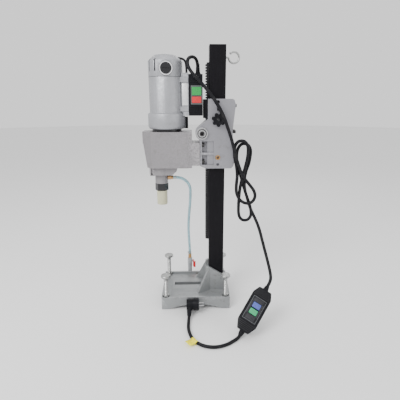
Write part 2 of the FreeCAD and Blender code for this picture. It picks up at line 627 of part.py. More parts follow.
def make_carriage_fittings():
    node("threaded_insert", tube("threaded_insert", "insert_rad", "insert_bore", "insert_deep",
                                 ("knob_x - 1", "-car_half - 0.5", "insert_z"), "Y"))
    bolts = []
    for side in (-1, 1):
        for at in ("bolt_low", "bolt_up"):
            y = f"{side} * bolt_y"
            face = "flange_x + flange_wall"
            head = cut("flange_head",
                       cyl("flange_head", "bolt_head_rad", "bolt_head_high", (face, y, at), "X"),
                       hexagon("flange_key", "8", "5", (f"{face} + bolt_head_high - 5", y, at),
                               "X"))
            bolts.append(fuse("flange_bolt", head, cyl(
                "flange_shank", "bolt_rad", "flange_wall + bolt_bite",
                ("flange_x - bolt_bite", y, at), "X")))
    node("flange_bolts", group("flange_bolts", bolts))


# ---------------------------------------------------------------- gearbox

def gearbox_plan(inset, left_inset="0"):
    half, nip = f"(box_half - ({inset}))", f"({inset}) * 0.5"
    left, right = f"box_left + {inset} + {left_inset}", f"box_right - ({inset})"
    return [(left, "-28"), (f"box_left + 36 + {nip}", f"-{half}"),
            (f"box_right - 20 - {nip}", f"-{half}"), (right, f"-(arm_half - ({inset}))"),
            (right, f"arm_half - ({inset})"), (f"box_right - 20 - {nip}", half),
            (f"box_left + 36 + {nip}", half), (left, "28")]


def make_gearbox():
    body = padded("gearbox_body", "XY_Plane", gearbox_plan("0"), "box_top - box_foot",
                  ("0", "0", "box_foot"))
    arm = box("arm", ("box_right - 6", "-arm_half", "arm_foot"),
              ("flange_x", "arm_half", "arm_top"))
    floor = "box_foot + box_floor"
    cavity = padded("gearbox_cavity", "XY_Plane", gearbox_plan("box_wall", "left_wall"),
                    f"box_top - ({floor}) + 1", ("0", "0", floor))
    wedge = padded("left_slope", "XZ_Plane", [
        ("box_left - 1", "box_foot - 1"), ("box_left + 16", "box_foot - 1"),
        ("box_left + 2", "box_top - 44"), ("box_left - 1", "box_top - 44")],
        "2 * box_half + 2", ("0", "box_half + 1", "0"))
    tools = [cavity, wedge,
             cyl("spindle_seat", "spin_seat_rad + seat", "box_floor + 2",
                 ("spin_x", "0", "box_foot - 1")),
             cyl("counter_seat", "counter_seat_rad + seat", "20",
                 ("counter_x", "counter_y", f"{floor} - 11"))]
    for side in (-1, 1):
        for at in ("bolt_low", "bolt_up"):
            tools.append(cyl("arm_thread", "bolt_rad + seat", "bolt_bite + 2",
                             ("flange_x - bolt_bite - 2", f"{side} * bolt_y", at), "X"))
    for x, y in nose_screw_places():
        tools.append(cyl("nose_thread", "3 + seat", "13", (x, y, "box_foot - 1")))
    node("gearbox_housing", cut("gearbox", fuse("gearbox_solid", body, arm), *tools))
    plate = padded("cover_plate", "XY_Plane", gearbox_plan("box_wall + seat", "left_wall"),
                   "cover_thick",
                   ("0", "0", "box_top - cover_thick"))
    neck = cyl("cover_neck", "neck_rad", "neck_high + 1", ("motor_x", "0", "box_top - 1"))
    node("gearbox_cover", cut(
        "gearbox_cover", fuse("cover_solid", plate, neck),
        cyl("shaft_way", "shaft_rad + 3", "40", ("motor_x", "0", "box_top - 30")),
        cyl("motor_seat", "motor_bearing_rad + seat", "20",
            ("motor_x", "0", "barrel_foot - motor_bearing_high - 2")),
        cyl("counter_top", "counter_seat_rad + seat", "9.2",
            ("counter_x", "counter_y", "box_top - cover_thick"))))


def nose_screw_places():
    return [(x, f"{side} * 29") for x in ("spin_x - 33", "spin_x + 44") for side in (-1, 1)]


def make_nose():
    foot = "nose_foot"
    round_part = cyl("nose_round", "spin_x - nose_left", "box_foot - nose_foot",
                     ("spin_x", "0", foot))
    block = padded("nose_block", "XZ_Plane", [
        ("spin_x", foot), ("nose_right - 18", foot), ("nose_right", "nose_foot + 16"),
        ("nose_right", "box_foot"), ("spin_x", "box_foot")], "84", ("0", "42", "0"))
    ear = box("nose_ear", ("nose_left + 2", "-9", "nose_foot - ear_high"),
              ("nose_left + 20", "9", "nose_foot + 6"))
    tools = [cyl("nose_seat", "spin_seat_rad + seat", "20", ("spin_x", "0", "box_foot - 18")),
             cyl("seal_seat", "seal_rad + seat", "40", ("spin_x", "0", "nose_foot - 12")),
             cyl("ear_hole", "3", "ear_high + 4", ("nose_left + 9", "0", "nose_foot - ear_high - 1"))]
    for x, y in nose_screw_places():
        tools.append(cyl("nose_way", "3.4", "60", (x, y, "nose_foot - 10")))
        tools.append(cyl("nose_sink", "5.6", "20 + 7", (x, y, "nose_foot - 20")))
    node("nose_cover", cut("nose", fuse("nose_solid", round_part, block, ear), *tools))
    screws = []
    for x, y in nose_screw_places():
        head = cut("nose_head", cyl("nose_head", "5", "6", (x, y, "nose_foot + 1")),
                   hexagon("nose_key", "5", "3", (x, y, "nose_foot + 1")))
        screws.append(fuse("nose_screw", head,
                           cyl("nose_shank", "3", "box_foot + 11 - nose_foot - 7",
                               (x, y, "nose_foot + 7"))))
    node("nose_screws", group("nose_screws", screws))


def make_spindle():
    z_shaft = ("spin_x", "0", "nose_nut_foot")
    core = cyl("spindle_core", "spin_shaft_rad", "box_foot + 76 - nose_nut_foot", z_shaft)
    thread = cyl("spindle_thread", "spin_shaft_rad + 1", "nose_nut_foot - sleeve_foot - 8",
                 ("spin_x", "0", "sleeve_foot + 8"))
    bore = cyl("spindle_bore", "spin_bore", "130", ("spin_x", "0", "sleeve_foot + 4"))
    port = cyl("spindle_port", "3.5", "2 * spin_shaft_rad + 2",
               ("spin_x", "-spin_shaft_rad - 1", "fitting_z"), "Y")
    node("spindle", cut("spindle", fuse("spindle_solid", core, thread), bore, port))
    node("spindle_nut", cut(
        "spindle_nut", hexagon("spindle_nut", "nose_nut_across",
                               "swivel_foot - nose_nut_foot - air_gap", z_shaft),
        cyl("nut_way", "spin_shaft_rad + seat", "40", ("spin_x", "0", "nose_nut_foot - 1"))))
    node("thread_sleeve", cut(
        "thread_sleeve",
        fuse("sleeve_solid",
             cyl("sleeve", "sleeve_rad", "nose_nut_foot - sleeve_foot - 6",
                 ("spin_x", "0", "sleeve_foot + 6")),
             cone("sleeve_tip", "sleeve_rad - 3", "sleeve_rad", "6",
                  ("spin_x", "0", "sleeve_foot"))),
        cyl("sleeve_bore", "spin_shaft_rad + 1 + seat", "80", ("spin_x", "0", "sleeve_foot + 6"))))
    node("water_swivel", cut(
        "water_swivel",
        fuse("swivel_solid",
             cyl("swivel", "swivel_rad", "nose_foot - swivel_foot", ("spin_x", "0", "swivel_foot")),
             cyl("swivel_spigot", "swivel_rad - 4", "4", ("spin_x", "0", "nose_foot - 2"))),
        cyl("swivel_bore", "spin_shaft_rad + running", "60", ("spin_x", "0", "swivel_foot - 1")),
        cyl("swivel_channel", "spin_shaft_rad + 2", "8", ("spin_x", "0", "fitting_z - 4")),
        cyl("swivel_port", "fitting_rad - 2 + seat", "40", ("spin_x", "0", "fitting_z"), "X")))
    node("spindle_seal", tube("spindle_seal", "seal_rad", "spin_shaft_rad + running", "8",
                              ("spin_x", "0", "nose_foot + 4")))


def make_gears():
    spin, motor = num("spin_x"), num("motor_x")
    cx, cy = num("counter_x"), num("counter_y")
    thin = num("backlash") / 2
    to_counter = math.atan2(cy, cx - motor)
    to_spin = math.atan2(-cy, spin - cx)
    one, two = num("stage_one_mod"), num("stage_two_mod")
    small_one, big_one = int(num("stage_one_small")), int(num("stage_one_big"))
    small_two, big_two = int(num("stage_two_small")), int(num("stage_two_big"))
    floor = num("box_foot + box_floor")
    node("spindle_gear", shaped(
        "spindle_gear", gear(two, big_two, 20, num("spin_shaft_rad + seat"), thin,
                             phase=to_spin + math.pi + math.pi / big_two),
        (spin, 0, floor + 14)))
    pinion = shaped("counter_pinion", gear(two, small_two, 34, 0, thin, phase=to_spin),
                    (cx, cy, floor + 6))
    shaft = cyl("counter_shaft", "counter_rad", "box_top - 3 - (box_foot + box_floor - 10)",
                ("counter_x", "counter_y", "box_foot + box_floor - 10"))
    node("counter_shaft", fuse("counter_shaft", pinion, shaft))
    node("counter_gear", shaped(
        "counter_gear", gear(one, big_one, 14, num("counter_rad + seat"), thin,
                             phase=to_counter + math.pi + math.pi / big_one),
        (cx, cy, num("box_top") - 38)))
    teeth = shaped("motor_pinion", gear(one, small_one, 20, 0, thin, phase=to_counter),
                   (motor, 0, num("box_top") - 41))
    rod = cyl("armature_rod", "shaft_rad", "dome_top - 7 - (box_top - 44)",
              ("motor_x", "0", "box_top - 44"))
    node("armature_shaft", fuse("armature_shaft", teeth, rod))


def make_bearings():
    rings = [
        ("spin_seat_rad", "spin_shaft_rad", "12", ("spin_x", "0", "box_foot - 17")),
        ("spin_seat_rad", "spin_shaft_rad", "12", ("spin_x", "0", "box_foot + 2")),
        ("counter_seat_rad", "counter_rad", "9", ("counter_x", "counter_y",
                                                   "box_foot + box_floor - 11")),
        ("counter_seat_rad", "counter_rad", "9", ("counter_x", "counter_y",
                                                   "box_top - cover_thick + 0.1")),
        ("motor_bearing_rad", "shaft_rad", "motor_bearing_high",
         ("motor_x", "0", "barrel_foot - motor_bearing_high - 2")),
        ("top_bearing_rad", "shaft_rad", "10", ("motor_x", "0", "dome_top - 4 - 10"))]
    node("ball_bearings", group("ball_bearings", [
        tube("bearing", outer, f"{inner} + running", high, at)
        for outer, inner, high, at in rings]))


# ---------------------------------------------------------------- motor

def make_motor():
    axis = ("motor_x", "0", "0")
    inner = "(barrel_rad - barrel_wall)"
    barrel = turned("barrel", [
        ("30", "barrel_foot"), ("collar_rad - 4", "barrel_foot"),
        ("collar_rad", "barrel_foot + 9"), ("collar_rad", "collar_top - 4"),
        ("barrel_rad", "collar_top"), ("barrel_rad", "cap_seam"), (inner, "cap_seam"),
        (inner, "barrel_foot + 8"), ("30", "barrel_foot + 8")], axis)
    boss = cyl("collar_boss", "7", "43", ("motor_x + collar_rad + 4", "0", "barrel_foot"))
    node("motor_housing", cut("motor_housing", fuse("motor_housing", barrel, boss),
                              cyl("barrel_way", inner, "100",
                                  ("motor_x", "0", "barrel_foot + 8"))))
    cap = turned("end_cap", [
        ("barrel_rad", "cap_seam"), ("barrel_rad", "cap_rim - 6"), ("barrel_rad - 5", "cap_rim"),
        ("barrel_rad - 22", "dome_top - 4"), ("16", "dome_top"), ("0", "dome_top"),
        ("0", "dome_top - 4"), ("top_bearing_rad + seat", "dome_top - 4"),
        ("top_bearing_rad + seat", "dome_top - 18"), ("top_bearing_rad + 5", "dome_top - 18"),
        ("top_bearing_rad + 5", "dome_top - 9"), ("barrel_rad - 26", "dome_top - 9"),
        ("barrel_rad - barrel_wall - 3", "cap_rim - 6"), (inner, "cap_rim - 12"),
        (inner, "cap_seam")], axis)
    bosses, ways = [], []
    for turn in brush_turns():
        bosses.append(along("brush_boss", "brush_boss_rad", "46", "barrel_rad - 1.5", turn))
        ways.append(along("brush_way", "10 + seat", "20", "barrel_rad + 10", turn))
        ways.append(along("brush_recess", "brush_cap_rad + air_gap", "barrel_rad - 8",
                          "barrel_rad + 10", turn))
    hollow = cyl("cap_hollow", inner, "cap_rim - 12 - cap_seam", ("motor_x", "0", "cap_seam"))
    rings = cut("brush_bosses", fuse("brush_bosses", *bosses), hollow)
    vents = []
    for angle in (-122, -150, 150, 122, 58, 30):
        slot = box("vent", ("0", "0", "0"), ("24", "6", "42"))
        turn = FreeCAD.Rotation(Z_AXIS, angle)
        start = turn.multVec(FreeCAD.Vector(44, -3, 0))
        slot.Placement = FreeCAD.Placement(FreeCAD.Vector(), turn)
        slot.setExpression("Placement.Base.x", expr("motor_x") + f" + ({start.x:.4f})")
        slot.setExpression("Placement.Base.y", f"{start.y:.4f}")
        slot.setExpression("Placement.Base.z", expr("cap_rim - 42"))
        vents.append(slot)
    ways.append(cyl("tail_way", "tail_rad + 0.5", "40", ("motor_x + 38", "-6", "cap_rim + 5"), "X"))
    node("motor_end_cap", cut("motor_end_cap", fuse("cap_solid", cap, rings), *ways, *vents))
    node("stator", tube("stator", f"{inner} - seat", "stator_bore", "98",
                        ("motor_x", "0", "collar_top - 20")))
    node("armature_core", group("armature_core", [
        tube("core_stack", "core_rad", "shaft_rad + seat", "86",
             ("motor_x", "0", "collar_top - 14")),
        tube("commutator", "commutator_rad", "shaft_rad + seat", "34",
             ("motor_x", "0", "brush_z - 17"))]))
    fan_foot = "barrel_foot + 14"
    blades = [cyl("fan_plate", "50", "3", ("motor_x", "0", fan_foot)),
              cyl("fan_hub", "14", "12", ("motor_x", "0", fan_foot))]
    for k in range(9):
        blade = box("fan_blade", ("0", "0", "0"), ("34", "2", "11"))
        turn = FreeCAD.Rotation(Z_AXIS, 40 * k)
        start = turn.multVec(FreeCAD.Vector(13, 4, 0))
        blade.Placement = FreeCAD.Placement(FreeCAD.Vector(), turn)
        blade.setExpression("Placement.Base.x", expr("motor_x") + f" + ({start.x:.4f})")
        blade.setExpression("Placement.Base.y", f"{start.y:.4f}")
        blade.setExpression("Placement.Base.z", expr(fan_foot + " + 1"))
        blades.append(blade)
    node("cooling_fan", cut("fan", fuse("fan_solid", *blades),
                            cyl("fan_bore", "shaft_rad + seat", "40",
                                ("motor_x", "0", "barrel_foot"))))
    holders, caps = [], []
    for turn in brush_turns():
        holders.append(cut("brush_holder", along("holder", "10", "24", "barrel_rad - 8", turn),
                           along("holder_bore", "7 + seat", "20", "barrel_rad", turn)))
        holders.append(along("carbon_brush", "7", "commutator_rad + air_gap", "40", turn))
        slot = box("coin_slot", ("0", "0", "0"), ("26", "4", "3"))
        slot.Placement = FreeCAD.Placement(FreeCAD.Vector(), FreeCAD.Rotation(Z_AXIS, turn))
        start = FreeCAD.Rotation(Z_AXIS, turn).multVec(FreeCAD.Vector(-13, -66, -1.5))
        slot.setExpression("Placement.Base.x", expr("motor_x") + f" + ({start.x:.4f})")
        slot.setExpression("Placement.Base.y", f"{start.y:.4f}")
        slot.setExpression("Placement.Base.z", expr("brush_z - 1.5"))
        caps.append(cut("brush_cap", along("brush_cap", "brush_cap_rad", "barrel_rad - 8",
                                           "barrel_rad + 3", turn), slot))
    node("brush_gear", group("brush_gear", holders))
    node("brush_caps", group("brush_caps", caps))


def brush_turns():
    return SIZES["brush_turn"], SIZES["brush_turn"] + 180


def along(stem, radius, start, end, turn):
    """A cylinder on the brush line, from start to end off the motor's axis."""
    spin = FreeCAD.Rotation(Z_AXIS, turn)
    way = spin.multVec(FreeCAD.Vector(0, -1, 0))
    obj = cyl(stem, radius, f"({end}) - ({start})", ("0", "0", "0"))
    at = (f"motor_x + ({way.x:.6f}) * ({start})", f"({way.y:.6f}) * ({start})", "brush_z")
    return place(obj, at, spin * TURNS["-Y"])


# ---------------------------------------------------------------- switch

def make_switch():
    skin = cyl("barrel_skin", "barrel_rad + seat", "400", ("motor_x", "0", "barrel_foot - 20"))
    half = "bracket_half"
    plate = box("bracket_plate", ("bracket_right - 26", f"-{half}", "switch_foot"),
                ("bracket_right", half, "switch_top + 4"))
    ribs = [box("bracket_rib", ("bracket_left", f"-{half} - 4", low),
                ("bracket_right", f"{half} + 4", high))
            for low, high in (("switch_foot + 16", "switch_foot + 33"),
                              ("switch_top - 27", "switch_top - 10"))]
    collar = cyl("collar_skin", "collar_rad + seat", "collar_top - barrel_foot + 1",
                 ("motor_x", "0", "barrel_foot"))
    tail = cyl("tail_seat", "tail_rad + seat", "20", ("bracket_right - 7", "-6", "switch_top - 3"))
    node("switch_bracket", cut("bracket", fuse("bracket_solid", plate, *ribs), skin, collar,
                               tail))
    low = ("switch_left", "switch_front", "switch_foot")
    high = ("switch_right", "switch_back", "switch_top")
    wall = "switch_wall"
    shell = cut("switch_shell", box("switch_box", low, high),
                box("switch_room", [f"{v} + {wall}" for v in low],
                    [f"{v} - {wall}" for v in high]),
                box("bezel_way", ("bezel_left", "switch_front - 1", "bezel_foot"),
                    ("bezel_right", "switch_front + 8", "bezel_top")),
                cyl("gland_way", "7 + seat", "8", ("switch_mid + 9", "gland_y", "switch_top - 6")))
    node("switch_housing", shell)
    frame = box("bezel", ("bezel_left + seat", "switch_front - 2", "bezel_foot + seat"),
                ("bezel_right - seat", "switch_front + 6", "bezel_top - seat"))
    ways, buttons = [], []
    for label, foot, tall in (("start_button", "green_foot", "green_high"),
                              ("stop_button", "red_foot", "red_high")):
        side = "button_wid / 2"
        gap = "button_gap"
        ways.append(box("button_way", (f"button_mid - {side}", "switch_front - 3", foot),
                        (f"button_mid + {side}", "switch_front + 7", f"{foot} + {tall}")))
        buttons.append((label, box(
            label, (f"button_mid - {side} + {gap}", "switch_front - button_out",
                    f"{foot} + {gap}"),
            (f"button_mid + {side} - {gap}", "switch_front + 9", f"{foot} + {tall} - {gap}"))))
    node("switch_bezel", cut("switch_bezel", frame, *ways))
    for label, button in buttons:
        node(label, button)
    node("lead_gland", fuse(
        "lead_gland",
        cyl("gland_thread", "7", "6", ("switch_mid + 9", "gland_y", "switch_top - 6")),
        hexagon("gland_nut", "19", "7", ("switch_mid + 9", "gland_y", "switch_top")),
        cone("gland_boot", "8", "lead_rad + 0.9", "11",
             ("switch_mid + 9", "gland_y", "switch_top + 7"))))


# ---------------------------------------------------------------- water hose and valve

HOSE_ROUTE = [
    (-85, 0, 523.5), (-63, 0, 523.5), (-43, 3, 515), (-27.6, 11, 499), (-19, 23.6, 476),
    (-18.5, 41.6, 445), (-20.5, 64.6, 405), (-24.5, 87, 361), (-28.6, 106.8, 313),
    (-30.7, 120.8, 263), (-29.2, 127.3, 213), (-27, 129.6, 176), (-26, 130, 152),
    (-26, 130, 134.3)]
VALVE_X, VALVE_Y, VALVE_TOP = -26, 130, 134


def make_water_line():
    axis = ("spin_x", "0", "fitting_z")
    reach = HOSE_ROUTE[0][0]
    node("water_fitting", fuse(
        "water_fitting",
        cyl("fitting_stem", "fitting_rad - 2", f"{reach} - spin_x - 17",
            ("spin_x + 17", *axis[1:]), "X"),
        hexagon("fitting_nut", "fitting_rad * 2", "12", ("spin_x + swivel_rad + 1", *axis[1:]),
                "X"),
        cyl("fitting_clamp", "hose_rad + 1.5", "6", (f"{reach} - 6", *axis[1:]), "X")))
    node("water_hose", shaped("water_hose", pinned(HOSE_ROUTE, num("hose_rad"))))
    x, y, top = str(VALVE_X), str(VALVE_Y), VALVE_TOP
    stem_z = top - 36
    body = fuse("valve_body",
                cyl("valve_tail", "7.5", "18", (x, y, f"{top - 18}")),
                hexagon("valve_neck", "17", "10", (x, y, f"{top - 28}")),
                cyl("valve_ball", "10.5", "28", (x, y, f"{top - 54}")),
                cyl("valve_hub", "5", "14", (x, y, f"{stem_z}"), "X"),
                hexagon("valve_foot", "17", "10", (x, y, f"{top - 62}")),
                cyl("valve_end", "9.5", "34", (x, y, f"{top - 94}")))
    node("hose_valve", cut("valve", body, cyl("valve_bore", "4.5", "40", (x, y, f"{top - 95}"))))
    lever = fuse("valve_lever",
                 cyl("lever_eye", "6.5", "4", (f"{x} + 14.3", y, f"{stem_z}"), "X"),
                 box("lever_arm", (f"{x} + 14.3", f"{y} - 5", f"{stem_z} - 26"),
                     (f"{x} + 18.3", f"{y} + 5", f"{stem_z}")),
                 box("lever_grip", (f"{x} + 16.3", f"{y} - 6", f"{stem_z} - 32"),
                     (f"{x} + 26.3", f"{y} + 6", f"{stem_z} - 5")))
    node("valve_lever", lever)


# ---------------------------------------------------------------- mains lead

LEAD_TOP_ROUTE = [
    (14.5, 18, 924), (14.5, 18, 942), (8, 5, 964), (-6, -23, 970), (-19, -49, 958),
    (-17, -60, 929), (-4, -65, 901), (17, -69, 876), (40, -73, 852), (60, -76, 830),
    (77, -79, 806), (93, -82, 778), (107, -84, 747), (120, -82, 712), (133, -78, 676),
    (145, -72, 640), (153, -66, 604)]
TAIL_ROUTE = [(-27, -6, 904), (-27, -6, 944), (-36, -6, 960), (-60, -6, 961)]
HANK_OUTLINE = [
    (158, 560), (152, 606), (151, 646), (164, 672), (184, 674), (205, 646), (205, 606),
    (190, 545), (214, 508), (231, 470), (226, 437), (216, 424), (219, 388), (205, 360),
    (186, 364), (172, 396), (164, 446), (160, 505)]
HANK_FRONT, HANK_THICK = -66, 24
LEAD_DROP_ROUTE = [
    (215, -54, 390), (230, -64, 358), (245, -80, 322), (258, -100, 284), (270, -124, 246),
    (280, -150, 210), (284.5, -176, 182), (279.8, -190.2, 164.3), (267.67, -200.66, 149.6)]
RCD_TOP, RCD_FOOT = (267.5, -200.8, 149.4), (154.5, -298.3, 12.6)
PLUG_LEAD_ROUTE = [
    RCD_FOOT, (149.5, -302.6, 6.6), (130, -319, 6.1), (104, -337, 6.1), (72, -348, 6.1),
    (36, -345, 6.1), (6, -328, 6.1), (-14, -302, 6.1), (-24, -272, 6.1), (-28.5, -246, 6.1),
    (-29, -224, 6.1), (-28.6, -206, 6.1), (-27.8, -191, 9.8), (-27, -180, 15)]
PLUG_TURN = (-24, -140, 34)
PLUG_HEAD = (-137.5, 38)


def make_leads():
    radius = num("lead_rad")
    upper = shaped("lead_top", pinned(LEAD_TOP_ROUTE, radius))
    tail = shaped("motor_tail", pinned(TAIL_ROUTE, num("tail_rad")))
    node("mains_lead", group("mains_lead", [upper, tail]))
    node("lead_drop", shaped("lead_drop", pinned(LEAD_DROP_ROUTE, radius)))
    hank = padded("lead_hank", "XZ_Plane", [(str(x), str(z)) for x, z in HANK_OUTLINE],
                  str(HANK_THICK), ("0", str(HANK_FRONT + HANK_THICK), "0"))
    node("lead_hank", hank)
    node("plug_lead", shaped("plug_lead", pinned(PLUG_LEAD_ROUTE, radius)))
    clip = box("clip", ("82", "-car_half - 24", "780"), ("95", "-car_half", "794"))
    screw = cut("clip_screw",
                cyl("clip_head", "6", "5", ("clip_screw_x", "-car_half - 5", "clip_screw_z"), "Y"),
                hexagon("clip_key", "5", "3", ("clip_screw_x", "-car_half - 5", "clip_screw_z"),
                        "Y"))
    shank = cyl("clip_shank", "3", "insert_deep", ("clip_screw_x", "-car_half", "clip_screw_z"),
                "Y")
    node("cable_clip", group("cable_clip", [clip, fuse("clip_screw", screw, shank)]))


def rcd_placement():
    top, foot = FreeCAD.Vector(*RCD_TOP), FreeCAD.Vector(*RCD_FOOT)
    up = (top - foot).normalize()
    face = FreeCAD.Vector(0.16, 0.83, -0.53)
    deep = (face - up * face.dot(up)).normalize()
    side = deep.cross(up)
    matrix = FreeCAD.Matrix(side.x, deep.x, up.x, 0, side.y, deep.y, up.y, 0,
                            side.z, deep.z, up.z, 0, 0, 0, 0, 1)
    return FreeCAD.Placement((top + foot) * 0.5, FreeCAD.Rotation(matrix))


def make_rcd():
    span = (FreeCAD.Vector(*RCD_TOP) - FreeCAD.Vector(*RCD_FOOT)).Length
    half, boot = span / 2 - 18, 18
    case = padded("rcd_case", "XZ_Plane", [
        ("-22", f"-{half}"), ("22", f"-{half}"), ("36", f"30 - {half}"), ("36", f"{half} - 26"),
        ("24", f"{half}"), ("-24", f"{half}"), ("-36", f"{half} - 26"), ("-36", f"30 - {half}")],
        "40", ("0", "20", "0"))
    boots = [cone("rcd_boot", "11", "lead_rad + 1.5", f"{boot}", ("0", "0", f"{half}")),
             cone("rcd_boot", "lead_rad + 1.5", "11", f"{boot}", ("0", "0", f"-{half} - {boot}"))]
    keys = {"rcd_test_button": 16, "rcd_reset_button": -8}
    pockets, buttons = [], []
    for label, z in keys.items():
        pockets.append(box("key_way", ("-15", "-21", f"{z} - 10"), ("15", "-10", f"{z} + 10")))
        buttons.append((label, box(label, ("-14.6", "-21.5", f"{z} - 9.6"),
                                   ("14.6", "-13", f"{z} + 9.6"))))
    case = cut("rcd", fuse("rcd_solid", case, *boots), *pockets)
    case.Placement = rcd_placement()
    node("rcd_housing", case)
    for label, button in buttons:
        held = group(label + "_set", [button])
        held.Placement = rcd_placement()
        node(label, held)


def make_plug():
    x, y, z = PLUG_TURN
    head_y, head_z = PLUG_HEAD
    start, end = FreeCAD.Vector(x, y, z), FreeCAD.Vector(*PLUG_LEAD_ROUTE[-1])
    sleeve = cone("plug_sleeve", "13", "lead_rad + 1.5", f"{(end - start).Length}",
                  (str(x), str(y), str(z)))
    sleeve.Placement = FreeCAD.Placement(start, FreeCAD.Rotation(Z_AXIS, end - start))
    head = [cyl("plug_back", "21", "28", (f"{x - 13}", f"{head_y}", f"{head_z}"), "X"),
            cyl("plug_face", "24", "22", (f"{x + 14}", f"{head_y}", f"{head_z}"), "X")]
    pins = [cyl("plug_pin", "2.4", "20", (f"{x + 35}", f"{head_y + dy}", f"{head_z}"), "X")
            for dy in (-9.5, 9.5)]
    node("mains_plug", fuse("mains_plug", sleeve, *head, *pins))


# ---------------------------------------------------------------- build and write

def check_and_write():
    doc.recompute()
    failed = [obj.Name for obj in doc.Objects
              if "Invalid" in obj.State or "Error" in obj.State]
    if failed:
        raise RuntimeError(f"these did not build: {failed}")
    for obj in nodes:
        if obj.Shape.isNull() or not obj.Shape.isValid() or not obj.Shape.Solids:
            raise RuntimeError(f"{obj.Label} has no sound solid")
    os.makedirs("parts", exist_ok=True)
    for obj in nodes:
        obj.Shape.exportStep(f"parts/{obj.Label}.step")
    print(len(nodes), "nodes")


def main():
    make_base()
    make_levelling()
    make_column()
    make_rack()
    make_hook()
    make_carriage()
    make_pads()
    make_side_screws()
    make_pinion()
    make_lock_knob()
    make_carriage_fittings()
    make_gearbox()
    make_nose()
    make_spindle()
    make_gears()
    make_bearings()
    make_motor()
    make_switch()
    make_water_line()
    make_leads()
    make_rcd()
    make_plug()
    check_and_write()


main()
